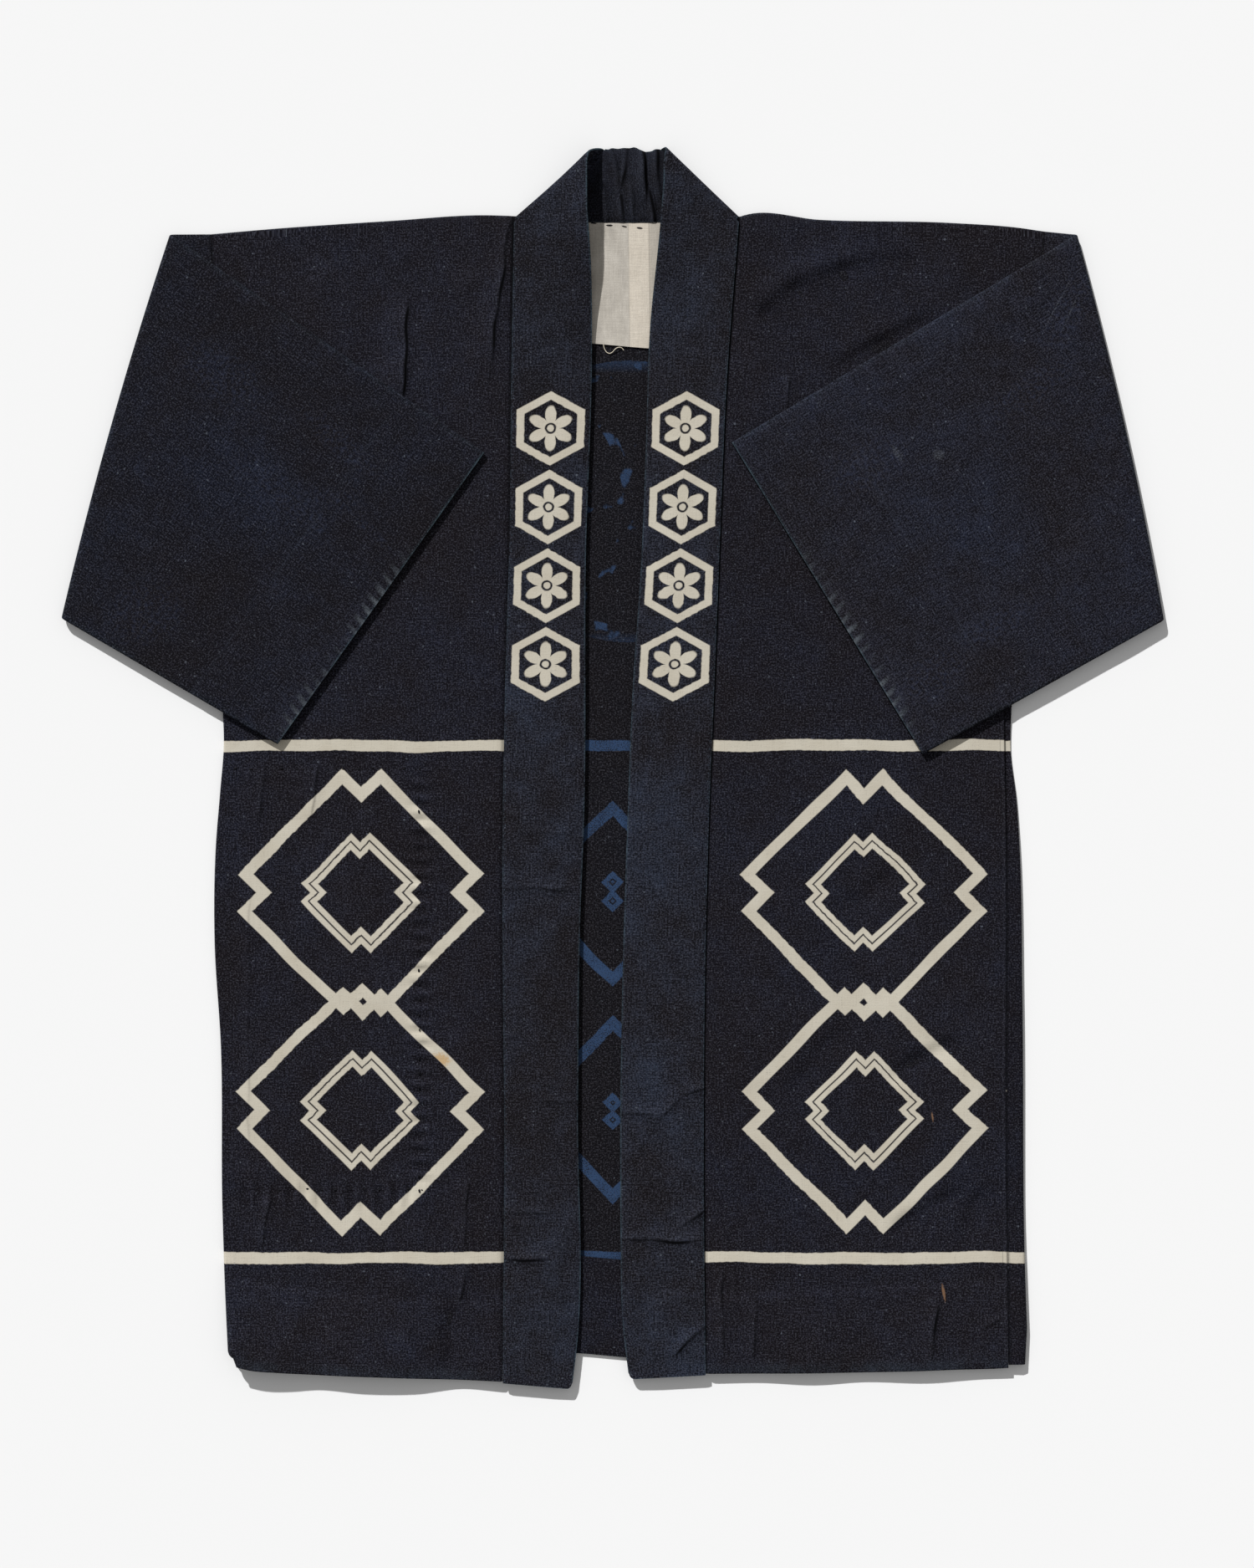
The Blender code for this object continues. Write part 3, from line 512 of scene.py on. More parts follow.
def half_roll(start, end, outward, steps, bulge=None):
    """Rows of points round a half turn between rows that lie above one another."""
    centre = (start + end) / 2.0
    arm = start - centre
    if bulge is None:
        bulge = np.linalg.norm(arm, axis=-1, keepdims=True)
    angles = [math.pi * step / steps for step in range(1, steps)]
    return [centre + arm * math.cos(a) + outward * bulge * math.sin(a) for a in angles]


def shell(name, points, flat, wear, thickness, finish, outside=1, cells=None, ring=False,
          marks=()):
    """Make an object whose wall runs through the points of a sheet."""
    rows, columns = points.shape[:2]
    if cells is None:
        cells = np.ones((rows - 1, columns if ring else columns - 1), bool)
    i, j = np.nonzero(cells)
    k = (j + 1) % columns
    quads = np.stack((i * columns + j, (i + 1) * columns + j,
                      (i + 1) * columns + k, i * columns + k), axis=1)
    middle = points.reshape(-1, 3)
    a, b, c, d = (middle[quads[:, n]] for n in range(4))
    normals = np.zeros_like(middle)
    for n in range(4):
        np.add.at(normals, quads[:, n], np.cross(c - a, d - b))
    lengths = np.linalg.norm(normals, axis=1, keepdims=True)
    normals = normals / np.maximum(lengths, 1e-9)
    half = (np.broadcast_to(thickness, (rows, columns)).reshape(-1, 1) / 2) * normals
    used = np.unique(quads)
    count = len(used)
    place = np.full(rows * columns, -1)
    place[used] = np.arange(count)
    top = place[quads]
    edges = np.concatenate([top[:, [n, (n + 1) % 4]] for n in range(4)])
    known = set(map(tuple, edges.tolist()))
    rim = [(end, start, start + count, end + count)
           for start, end in edges.tolist() if (end, start) not in known]
    faces = top.tolist() + (top[:, ::-1] + count).tolist() + rim
    vertices = np.concatenate((middle[used] + half[used], middle[used] - half[used])) * MM
    mesh = bpy.data.meshes.new(name)
    mesh.from_pydata(vertices.tolist(), [], faces)
    corner = np.zeros(len(mesh.loops), int)
    mesh.loops.foreach_get("vertex_index", corner)
    cloth = np.tile(flat.reshape(-1, 2)[used] * MM, (2, 1))
    mesh.uv_layers.new(name="cloth").data.foreach_set("uv", cloth[corner].ravel())
    held = {"inner": np.repeat((0.0, 1.0) if outside > 0 else (1.0, 0.0), count)}
    for label, values in zip(("wear", "crease_away", "crease_depth", "relief"), (wear, *marks)):
        held[label] = np.tile(values.reshape(-1)[used], 2)
    for label, values in held.items():
        mesh.attributes.new(label, "FLOAT", "POINT").data.foreach_set("value", values)
    mesh.materials.append(finish)
    mesh.shade_smooth()
    mesh.set_sharp_from_angle(angle=SHARP_ANGLE)
    print(name, "has", len(faces), "faces")
    return put(name, mesh)

# %% [markdown]
# ## Shader maths in plain Python
# A material's pattern is easier to read as a formula than as a web of nodes. The class below
# wraps one socket, and Python's own operators add the Math nodes. Every other node comes from
# one method that sets its options first and its sockets next.

# %% Values and finishes
class Value:
    """One number or colour that changes over a surface."""

    def __init__(self, finish, socket):
        self.finish = finish
        self.socket = socket

    def math(self, operation, *others, clamp=False):
        """Add a Math node that works on this value and others."""
        return self.finish.node("ShaderNodeMath", {"operation": operation, "use_clamp": clamp},
                                dict(enumerate((self, *others))))

    def __rsub__(self, other):
        """A plain number less this value."""
        return self.finish.node("ShaderNodeMath", {"operation": "SUBTRACT"}, {0: other, 1: self})

    def share(self, low, high):
        """0 at low, 1 at high and even between them, also where low is the larger."""
        return self.math("MULTIPLY_ADD", 1.0 / (high - low), -low / (high - low), clamp=True)

    def within(self, half_width, soft):
        """1 where the value lies within a distance of 0, with a soft edge."""
        return abs(self).share(half_width + soft / 2, half_width - soft / 2)

    def wrap(self, low, high):
        """Fold the value into a repeating stretch."""
        return self.math("WRAP", high, low)

    def clamped(self):
        """The value kept from 0 to 1."""
        return self.math("MAXIMUM", 0.0, clamp=True)


def method(operation):
    """A method of a value that adds one Math node."""
    return lambda value, *others: value.math(operation, *others)


for name, operation in (("__add__", "ADD"), ("__sub__", "SUBTRACT"), ("__mul__", "MULTIPLY"),
                        ("__abs__", "ABSOLUTE"), ("least", "MINIMUM"), ("most", "MAXIMUM")):
    setattr(Value, name, method(operation))


class Finish:
    """A material under construction."""

    def __init__(self, name):
        self.material = bpy.data.materials.new(name)
        self.material.use_nodes = True
        self.tree = self.material.node_tree
        self.shader = self.tree.nodes["Principled BSDF"]

    def node(self, kind, settings, inputs, output=0):
        """Add any node: its settings first, then the values or links of its sockets."""
        made = self.tree.nodes.new(kind)
        for name, setting in settings.items():
            setattr(made, name, setting)
        for name, value in inputs.items():
            self.feed(made.inputs[name], value)
        return Value(self, made.outputs[output])

    def feed(self, socket, value):
        """Link a value to a socket, or set the socket to a plain number or colour."""
        if isinstance(value, Value):
            self.tree.links.new(value.socket, socket)
        else:
            socket.default_value = value

    def blend(self, share, first, second):
        """A mix of two colours."""
        return self.node("ShaderNodeMix", {"data_type": "RGBA"}, {0: share, 6: first, 7: second},
                         output=2)

    def noise(self, where, scale, detail=2.0, roughness=0.5):
        """Noise about 0.5, scaled in waves a metre."""
        return self.node("ShaderNodeTexNoise", {}, {"Vector": where, "Scale": scale,
                                                    "Detail": detail, "Roughness": roughness})

    def drift(self, *where_and_scale):
        """The same noise about 0."""
        return self.noise(*where_and_scale) - 0.5

    def stretch(self, where, x, y):
        """A place scaled along each axis, which pulls a pattern out along the others."""
        return self.node("ShaderNodeMapping", {"vector_type": "POINT"},
                         {"Vector": where, "Scale": (x, y, 1.0)})

    def here(self):
        """The place on the coat, in metres."""
        return self.node("ShaderNodeTexCoord", {}, {}, output="Object")

    def axes(self, where):
        """The first two numbers of a place."""
        return [self.node("ShaderNodeSeparateXYZ", {}, {"Vector": where}, output=axis)
                for axis in ("X", "Y")]

    def done(self, colour, roughness, specular):
        """Join a colour to the shader, and give the material."""
        for name, value in (("Base Color", colour), ("Roughness", roughness),
                            ("Specular IOR Level", specular)):
            self.feed(self.shader.inputs[name], value)
        return self.material


def distance(p, q):
    """How far a place is from the origin of its two numbers."""
    return (p * p + q * q).math("SQRT")


def rgb(red, green, blue):
    """A colour given as it looks on a screen, from 0 to 255, as the shader needs it."""
    shares = [value / 255.0 for value in (red, green, blue)]
    linear = [s / 12.92 if s <= 0.04045 else ((s + 0.055) / 1.055) ** 2.4 for s in shares]
    return (*linear, 1.0)


print("indigo as the shader sees it:", [round(v, 4) for v in rgb(31, 30, 37)])

# %% [markdown]
# ## Indigo cotton
# The coat's cotton was dyed almost black. Up close, thick and thin threads leave short pale
# streaks along the warp and the weft, the dye is a little cloudy, and edges that rub have
# gone a dusty blue. The inside of the cloth is flatter and browner.

# %% Cloth finish shared by every piece
WARP_STREAK = (1300.0, 70.0)       # streaks per metre across and along the warp
WEFT_STREAK = (80.0, 1300.0)
GRAIN = (820.0, 3.0, 0.6)          # scale, detail and roughness of the grain
CLOUDS = (8.0, 5.0, 0.6)           # of broad clouds in the dye
PATCHES = (60.0, 4.0, 0.65)        # and of small patches
CLOUD_TINT = 2.6                   # how much clouds, patches and grain turn brown to blue
PATCH_TINT = 1.1
GRAIN_TINT = 1.5
PATCH_FADE = 0.7                   # how much patches, threads and grain fade the dye
THREAD_FADE = 1.3
GRAIN_FADE = 2.0
RELIEF_SHADING = 0.085                 # painted light and shade: how much paler the dye is on a ridge of 1 mm, darker in a trough
FADED_BROWN = rgb(47, 45, 52)
SPECKS = 2.0                       # strength of the grain's pale specks and dark pits
SPECK = rgb(78, 78, 84)
PITS = -3.8
# The pits' colour, also the painted shade in the bottom of a sharp crease or seam
PIT_AND_CREASE_SHADE = rgb(5, 5, 8)
LINT_SCALE = (420.0, 380.0)
LINT_FROM = (0.78, 0.82)
LINT_SHARE = 0.6
LINT_PATCHES = (-0.1, 0.2)
LINT = rgb(100, 106, 116)
PATCH_RUB = 2.4                    # how uneven a rubbed edge is
GRAIN_RUB = 2.0
RUB = 0.5
# Columns: how far it is from the crease's line, half width, softness, strength
# The core is painted shade in a sharp crease's bottom; the ridge beside it is pale, partly
# rubbed and partly a painted highlight
CREASE_SHADE_LINE = (0.9, 1.0, 1.8, 0.9)
CREASE_RIDGE = (-1.8, 1.2, 3.2, 0.05)
DEEPEST = 1.2
UNEVEN = (1.4, 0.95)               # how much a line follows the grain, and its mean strength
# The ridge's pale colour: partly rubbed, partly a painted highlight
RIDGE_RUB_AND_HIGHLIGHT = rgb(78, 82, 92)
GRAIN_BUMP = 0.00022
BUMP_STRENGTH = 0.5
THREAD_HEIGHT = 0.7                # heights of threads, grain and sharp creases in the bump
GRAIN_HEIGHT = 0.9
CREASE_HEIGHT = 5.0
RIDGE_SLOPES = (6.0, 1.6)          # how far a crease's ridge reaches to each side, in mm
ROUGHNESS = 0.92
SHEEN = 0.08
# Columns: brownish dye, bluish dye, faded blue, how faded, how cloudy, rubbed edges
DYES = {
    "body": (rgb(15, 11, 15), rgb(11, 11, 20), rgb(42, 45, 60), 0.10, 0.6, rgb(58, 68, 78)),
    "sleeve": (rgb(14, 11, 15), rgb(9, 11, 21), rgb(41, 46, 63), 0.12, 0.8, rgb(66, 84, 92)),
    "band": (rgb(16, 13, 16), rgb(10, 13, 22), rgb(46, 52, 67), 0.27, 1.15, rgb(64, 82, 92)),
    "inside": (rgb(13, 10, 13), rgb(10, 10, 16), rgb(34, 34, 42), -0.02, 0.4, rgb(42, 48, 56)),
}


class Cloth(Finish):
    """A finish of woven cloth, with the places, threads and attributes that it starts from."""

    def __init__(self, name):
        super().__init__(name)
        self.place = self.here()
        self.flat = self.node("ShaderNodeUVMap", {"uv_map": "cloth"}, {})
        self.u, self.v = self.axes(self.flat)
        warp = self.noise(self.stretch(self.flat, *WARP_STREAK), 1.0)
        weft = self.noise(self.stretch(self.flat, *WEFT_STREAK), 1.0)
        self.threads = warp + weft - 1.0
        self.grain = self.drift(self.flat, *GRAIN)
        for label in ("inner", "wear", "crease_away", "crease_depth", "relief"):
            held = self.node("ShaderNodeAttribute", {"attribute_name": label}, {}, output="Fac")
            setattr(self, label, held)


def creased(cloth, colour):
    """Paint a pale ridge beside each sharp crease, partly rubbed and partly a painted highlight,
    and painted shade in its bottom.
    """
    depth = cloth.crease_depth.least(DEEPEST)
    uneven = cloth.grain * UNEVEN[0] + UNEVEN[1]
    for line, deep, shade in ((CREASE_RIDGE, depth, RIDGE_RUB_AND_HIGHLIGHT), (CREASE_SHADE_LINE, depth * depth, PIT_AND_CREASE_SHADE)):
        middle, half_width, soft, strength = line
        share = (cloth.crease_away - middle).within(half_width, soft) * deep * uneven
        colour = cloth.blend((share * strength).clamped(), colour, shade)
    return colour


def dye(cloth, look):
    """Cloudy indigo, brownish in some patches and bluish in others, with pale grain, and with
    painted light on ridges and painted shade in troughs.
    """
    brown, blue, pale, fade, cloud, worn = DYES[look]
    clouds = cloth.drift(cloth.place, *CLOUDS)
    patches = cloth.drift(cloth.place, *PATCHES)
    grain = cloth.grain
    tint = clouds * CLOUD_TINT + patches * PATCH_TINT + grain * GRAIN_TINT + 0.5
    tint = tint.share(0.0, 1.0)
    share = (clouds + patches * PATCH_FADE) * cloud + cloth.threads * THREAD_FADE
    # The relief attribute adds painted light on ridges and painted shade in troughs, with the
    # other tones carried on it
    share = share + grain * GRAIN_FADE + cloth.relief * RELIEF_SHADING + fade
    colour = cloth.blend(share.clamped(), cloth.blend(tint, brown, blue),
                         cloth.blend(tint, FADED_BROWN, pale))
    colour = cloth.blend((grain * SPECKS).clamped(), colour, SPECK)
    colour = cloth.blend((grain * PITS).clamped(), colour, PIT_AND_CREASE_SHADE)
    lint = cloth.noise(cloth.stretch(cloth.flat, *LINT_SCALE), 1.0, 0.0).share(*LINT_FROM)
    colour = cloth.blend(lint * (patches.share(*LINT_PATCHES) * LINT_SHARE), colour, LINT)
    rub = cloth.wear * (patches * PATCH_RUB + grain * GRAIN_RUB + RUB)
    return cloth.blend(rub.clamped(), colour, worn)


def close(cloth, colour, specular=SHEEN):
    """Join a cloth's colour to its shader, with its threads and creases as a bump."""
    away = cloth.crease_away
    before, after = RIDGE_SLOPES
    ridge = (away * (1.0 / before) + 1.0).least(1.0 - away * (1.0 / after)).clamped()
    height = (cloth.threads * THREAD_HEIGHT + cloth.grain * GRAIN_HEIGHT
              + ridge * cloth.crease_depth * CREASE_HEIGHT)
    bump = cloth.node("ShaderNodeBump", {}, {"Strength": BUMP_STRENGTH, "Distance": GRAIN_BUMP,
                                             "Height": height})
    cloth.feed(cloth.shader.inputs["Normal"], bump)
    return cloth.done(colour, ROUGHNESS, specular)


print("thread streaks:", WARP_STREAK[0], "a metre")

# %% [markdown]
# ## Prints
# Work coats carry bold resist prints: paste keeps the dye off, so the pattern stays the
# colour of the raw cotton, with soft, slightly ragged lines. Round the skirt runs a plain old
# pattern of linked squares with notched corners. The collar has a row of tortoiseshell
# hexagons with a flower in each, and the back a ring of overlapping circles. Where a print
# shows through to the inside, it's a grainy blue.

# %% Linked squares round the skirt
WAIST_TOP = 21.0
WAIST_BOTTOM = -382.0
LINE = 8.4
LINK_MIDDLE = 0.194       # metres out from the middle of the coat, at the middle of a front
LINK_PITCH = 0.232        # round the coat
LINK_CENTRES = (-0.0965, -0.2645)
LINK_HALF = 0.0735        # half a link's side
LINK_NOTCH = 0.0205
HEART_HALF = 0.0330
HEART_NOTCH = 0.3         # as a share of its half side
HEART_LINE = 1.05         # as a share of a link's line
HEART_SLIT = 0.00055
RAGGED = 0.0013
SWAY = 0.0065             # how far a line wanders
SOFT = 0.0007
SWAYS = (16.0, 1.0)       # scale and detail of the wandering up and down, and to the sides
TILTS = (14.0, 1.0)
WOBBLES = 260.0           # waves per metre along a printed line, and for the skirt
SKIRT_WOBBLES = 240.0


def notched_square(p, q, half, notch):
    """How far a place is from the outline of a square that stands on its corner."""
    a = abs((p + q) * (1 / math.sqrt(2)))
    b = abs((p - q) * (1 / math.sqrt(2)))
    return (a.most(b) - half).most(a.least(b) - (half - notch))


def skirt_print(cloth):
    """Where the skirt's print is: 1 on its lines."""
    wobble = cloth.drift(cloth.flat, SKIRT_WOBBLES) * RAGGED
    sway = cloth.drift(cloth.flat, *SWAYS) * SWAY
    tilt = cloth.drift(cloth.place, *TILTS) * SWAY
    p = (abs(cloth.u) - LINK_MIDDLE).wrap(-LINK_PITCH / 2, LINK_PITCH / 2) + wobble + tilt
    y = SHOULDER_Y * MM - abs(cloth.v - SHOULDER_Y * MM) + wobble + sway
    half_line = LINE * MM / 2
    top = (y - (WAIST_TOP * MM - half_line)).within(half_line, SOFT)
    lines = top.most((y - (WAIST_BOTTOM * MM + half_line)).within(half_line, SOFT))
    for centre in LINK_CENTRES:
        q = y - centre
        link = notched_square(p, q, LINK_HALF, LINK_NOTCH).within(half_line, SOFT)
        edge = notched_square(p, q, HEART_HALF, HEART_HALF * HEART_NOTCH)
        heart = edge.within(half_line * HEART_LINE, SOFT) - edge.within(HEART_SLIT, SOFT)
        lines = lines.most(link).most(heart)
    return lines


# %% Flowers in hexagons on the collar
HEXAGON_TOP = 0.291
HEXAGON_PITCH = 0.0605
HEXAGON_COUNT = 4
ZONE_SOFT = 0.0002
HEXAGON_HALF = 0.0248     # half its width across the flats
HEXAGON_LINE = 0.0028     # half the line's width
PETAL_REACH = 0.0172
PETAL_DEPTH = 0.62        # how deep the flower is cut between its petals
EYE = (0.0026, 0.0042)    # inner and outer radius of the ring at its middle


def collar_print(cloth):
    """Where the collar's print is. The cloth's u runs across the band from its middle."""
    wobble = cloth.drift(cloth.flat, WOBBLES) * RAGGED
    p = cloth.u + wobble
    y = cloth.v + wobble
    low = HEXAGON_TOP - HEXAGON_PITCH * HEXAGON_COUNT
    zone = (y - (HEXAGON_TOP + low) / 2).within((HEXAGON_TOP - low) / 2, ZONE_SOFT)
    q = (y - low).wrap(0.0, HEXAGON_PITCH) - HEXAGON_PITCH / 2
    slant = abs(p) * 0.5 + abs(q) * (math.sqrt(3) / 2)
    outline = (abs(p).most(slant) - (HEXAGON_HALF - HEXAGON_LINE)).within(HEXAGON_LINE, SOFT)
    radius = distance(p, q)
    angle = q.math("ARCTAN2", p)
    petal = abs((angle * 3.0 + math.pi / 2).math("COSINE")) * PETAL_DEPTH + (1.0 - PETAL_DEPTH)
    petals = (petal * PETAL_REACH - radius).share(-SOFT, SOFT)
    eye = radius.within(EYE[1], SOFT) - radius.within(EYE[0], SOFT)
    return outline.most(petals - eye).most(0.0) * zone


print("links on each front:", len(LINK_CENTRES), "and hexagons:", HEXAGON_COUNT)

# %% A roundel of overlapping circles on the back
ROUNDEL_X = 0.0115
ROUNDEL_V = 0.619         # along the cloth, over the shoulder
ROUNDEL_RADIUS = 0.102
ROUNDEL_LINE = 0.0065     # half the line's width
ARC_LINE = 0.6            # as a share of it


def roundel_print(cloth):
    """Where the back's roundel is: a ring, and four arcs through its middle."""
    wobble = cloth.drift(cloth.flat, WOBBLES) * RAGGED
    p = cloth.u - ROUNDEL_X + wobble
    q = cloth.v - ROUNDEL_V + wobble
    from_middle = distance(p, q)
    drawn = (from_middle - ROUNDEL_RADIUS).within(ROUNDEL_LINE, SOFT)
    inside = from_middle.share(ROUNDEL_RADIUS + SOFT, ROUNDEL_RADIUS)
    for x, y in ((1, 0), (-1, 0), (0, 1), (0, -1)):
        from_side = distance(p - x * ROUNDEL_RADIUS, q - y * ROUNDEL_RADIUS)
        arc = (from_side - ROUNDEL_RADIUS).within(ROUNDEL_LINE * ARC_LINE, SOFT)
        drawn = drawn.most(arc * inside)
    return drawn


print("the roundel is", round(ROUNDEL_RADIUS * 2, 3), "m across")

# %% Colours of the print, outside and inside
RAW_COTTON = rgb(186, 180, 166)
SOILED_COTTON = rgb(166, 157, 140)
BARE_THREAD = rgb(120, 116, 110)
SHOW_THROUGH = rgb(46, 66, 96)
WEAK_FROM = 0.51          # the back's print is only traces between these places on the cloth
WEAK_TO = 0.73
WEAK_SOFT = 0.01
TRACE_SCALE = 62.0
TRACES = (0.58, 0.64)
TRACE_SHARE = 0.8
PRINT_GRAIN = (1100.0, 1.0)
SOIL = (42.0, 4.0, 0.6)
SOILED = (0.35, 0.75)
SOILED_SHARE = 0.5
THIN = (0.10, 0.55)
THIN_SHARE = 0.45
BLOTCHES = (0.62, 0.86)
BLOTCH_SHARE = 0.75
FAINTEST = 0.15


def printed(cloth, dyed, mask, inside_colour):
    """Lay a print on dyed cloth: raw cotton outside and a grainy blue inside."""
    grain = cloth.noise(cloth.flat, *PRINT_GRAIN)
    soiled = cloth.noise(cloth.place, *SOIL)
    raw = cloth.blend(soiled.share(*SOILED) * SOILED_SHARE, RAW_COTTON, SOILED_COTTON)
    thin = (cloth.threads + (grain - 0.5)).share(*THIN) * THIN_SHARE
    outside = cloth.blend(mask, dyed, cloth.blend(thin, raw, BARE_THREAD))
    blotch = (grain + soiled * 0.6).share(*BLOTCHES) * BLOTCH_SHARE + FAINTEST
    traces = cloth.noise(cloth.place, TRACE_SCALE).share(*TRACES)
    weak = (cloth.v.share(WEAK_FROM - WEAK_SOFT, WEAK_FROM + WEAK_SOFT)
            * cloth.v.share(WEAK_TO + WEAK_SOFT, WEAK_TO - WEAK_SOFT))
    shown = 1.0 - weak * (1.0 - traces * TRACE_SHARE)
    inside = cloth.blend(mask * blotch * shown, inside_colour, SHOW_THROUGH)
    return cloth.blend(cloth.inner, outside, inside)


# %% [markdown]
# ## Stains
# Two small rust marks near the left hem and a yellow stain on the print of the right front
# are part of this coat's wear, so each gets its own soft spot.

# %% Spots
# Columns: x, y, half length, half width, angle in degrees
RUST = ((254.8, -404.7, 7.0, 1.2, 100), (246.4, -269.3, 4.0, 0.7, 100))
YELLOW = ((-134.0, -226.0, 9.0, 6.0, 10),)
RUST_COLOUR = rgb(112, 86, 66)
YELLOW_COLOUR = rgb(176, 142, 92)
RUST_SHARE = 0.85
YELLOW_SHARE = 0.75
RAGGED_SCALE = 700.0
RAGGED_EDGE = 1.3         # of a spot, as a share of its size
SPOT_EDGE = (1.15, 0.55)
STAINED_BELOW = (0.42, 0.41)     # along the cloth, so that only the fronts are stained


def spots(cloth, table):
    """Where a table's spots are, with ragged edges."""
    ragged = cloth.drift(cloth.place, RAGGED_SCALE) * RAGGED_EDGE
    found = None
    for x, y, half_length, half_width, angle in table:
        turned = cloth.node("ShaderNodeMapping", {"vector_type": "TEXTURE"}, {
            "Vector": cloth.place, "Location": (x * MM, y * MM, 0.0),
            "Rotation": (0.0, 0.0, math.radians(angle)),
            "Scale": (half_length * MM, half_width * MM, 1.0)})
        spot = (distance(*cloth.axes(turned)) + ragged).share(*SPOT_EDGE)
        found = spot if found is None else found.most(spot)
    return found


# %% Body finish
def body_finish():
    """Near-black indigo with the prints of the skirt and the back, painted shade and highlights
    at creases and seams, and the stains.
    """
    cloth = Cloth("indigo_body")
    pattern = skirt_print(cloth).most(roundel_print(cloth))
    colour = printed(cloth, dye(cloth, "body"), pattern, dye(cloth, "inside"))
    colour = creased(cloth, colour)
    outer = (1.0 - cloth.inner) * cloth.v.share(*STAINED_BELOW)
    colour = cloth.blend(spots(cloth, RUST) * outer * RUST_SHARE, colour, RUST_COLOUR)
    yellow = spots(cloth, YELLOW) * outer * pattern * YELLOW_SHARE
    return close(cloth, cloth.blend(yellow, colour, YELLOW_COLOUR))


body_material = body_finish()
print(body_material.name, "is ready")

# %% Sleeve and collar finishes
RUB_PITCH = 0.0095        # from one rub to the next along the cuff
RUB_SLANT = 0.25
RUB_DRIFT = 0.006
RUB_REACH = 0.0105        # and how far they reach in
RUB_FROM = (0.085, 0.155)     # where along the cuff they begin and end
RUB_TO = (0.272, 0.25)
RUB_STRIPE = (-0.2, 1.0)
RUB_PATCHES = (26.0, 3.0)
RUB_PATCH_EDGE = (0.34, 0.6)
RUB_GRAIN = 3.0           # how much rubs and scuffs follow the grain, and their mean strength
RUB_MEAN = 0.9
SCUFF_MEAN = 0.5
SCUFF_SHARE = 0.4
CUFF_RUB = rgb(84, 90, 96)
FACING = 0.0760           # the cuff's facing ends this far in, and shows as a faint row
FACING_LINE = (0.0008, 0.0012)
FACING_SHARE = 0.09
FACING_ROW = rgb(62, 68, 80)
FIBRE_STRETCH = (300.0, 300.0)
FIBRES = (1.0, 4.0, 0.7)
FIBRE_EDGE = (0.48, 0.64)
MARK_SHARE = 0.2
SCUFF = rgb(84, 88, 94)
SLEEVE_MARK = rgb(56, 64, 88)
BAND_BACK_FROM = (0.468, 0.482)     # along the band, which is darker behind the neck
BAND_BACK_SHARE = 0.4
BAND_BACK_TONE = rgb(9, 10, 14)
# Columns: x and y in mm, half length, half width, angle
SCUFFS = (
    (218.7, 241.6, 7.0, 2.6, -55),
    (250.9, 240.3, 5.0, 4.2, 10),
    (342, 356, 22, 0.7, 62),
    (352, 350, 16, 0.6, 66),
)
SLEEVE_MARKS = (
    (-188, 184, 24, 4, -44),
    (-262, 215, 46, 16, -38),
    (-236, 196, 34, 10, -52),
    (-215, 206, 26, 9, -12),
    (-300, 300, 40, 22, -40),
    (-360, 120, 34, 26, 20),
    (-210, 250, 44, 10, -40),
    (246, 70, 30, 20, 30),
    (296, 110, 36, 12, 28),
    (196, 232, 36, 22, 28),
    (320, 290, 44, 14, 34),
    (350, 350, 40, 16, 62),
)


def cuff_rubs(cloth, dyed):
    """Pale scuffs across the cuff's edge, where it creased between the facing's stitches."""
    u, v = cloth.u, cloth.v
    drift = cloth.drift(cloth.place, 60.0) * RUB_DRIFT
    stripe = ((v + u * RUB_SLANT + drift) * (2 * math.pi / RUB_PITCH)).math("COSINE")
    near = (1.0 - u * (1.0 / RUB_REACH)).clamped()
    patches = cloth.noise(cloth.place, *RUB_PATCHES).share(*RUB_PATCH_EDGE)
    along = v.share(*RUB_FROM) * v.share(*RUB_TO)
    rough = cloth.grain * RUB_GRAIN
    rubs = stripe.share(*RUB_STRIPE) * near * patches * along * (rough + RUB_MEAN)
    colour = cloth.blend(rubs.clamped(), dyed, CUFF_RUB)
    row = (u - FACING).within(*FACING_LINE) * patches
    colour = cloth.blend(row * FACING_SHARE, colour, FACING_ROW)
    scuffs = spots(cloth, SCUFFS) * (rough + SCUFF_MEAN)
    colour = cloth.blend((scuffs * SCUFF_SHARE).clamped(), colour, SCUFF)
    fibres = cloth.noise(cloth.stretch(cloth.place, *FIBRE_STRETCH), *FIBRES)
    marks = spots(cloth, SLEEVE_MARKS) * fibres.share(*FIBRE_EDGE)
    return cloth.blend(marks * MARK_SHARE, colour, SLEEVE_MARK)


def sleeve_finish():
    """A little bluer than the body, faded in soft patches and dusty at the cuff."""
    cloth = Cloth("indigo_sleeve")
    rubbed = cuff_rubs(cloth, dye(cloth, "sleeve"))
    return close(cloth, cloth.blend(cloth.inner, rubbed, dye(cloth, "inside")))


def collar_finish():
    """The doubled band: bluer, with pale rubbed edges, painted shade and highlights at its sharp
    creases, and the printed hexagons.
    """
    cloth = Cloth("indigo_band")
    behind = cloth.v.share(*BAND_BACK_FROM) * BAND_BACK_SHARE
    dyed = cloth.blend(behind, dye(cloth, "band"), BAND_BACK_TONE)
    return close(cloth, creased(cloth, printed(cloth, dyed, collar_print(cloth), dyed)))


sleeve_material = sleeve_finish()
collar_material = collar_finish()
print("sleeve and collar finishes are ready")

# %% [markdown]
# ## The look of the neck patch
# A piece of raw cotton is sewn inside the back, just below the neck. Its left part is worn
# thin and greyish, and a brighter strip runs beside the centre seam.

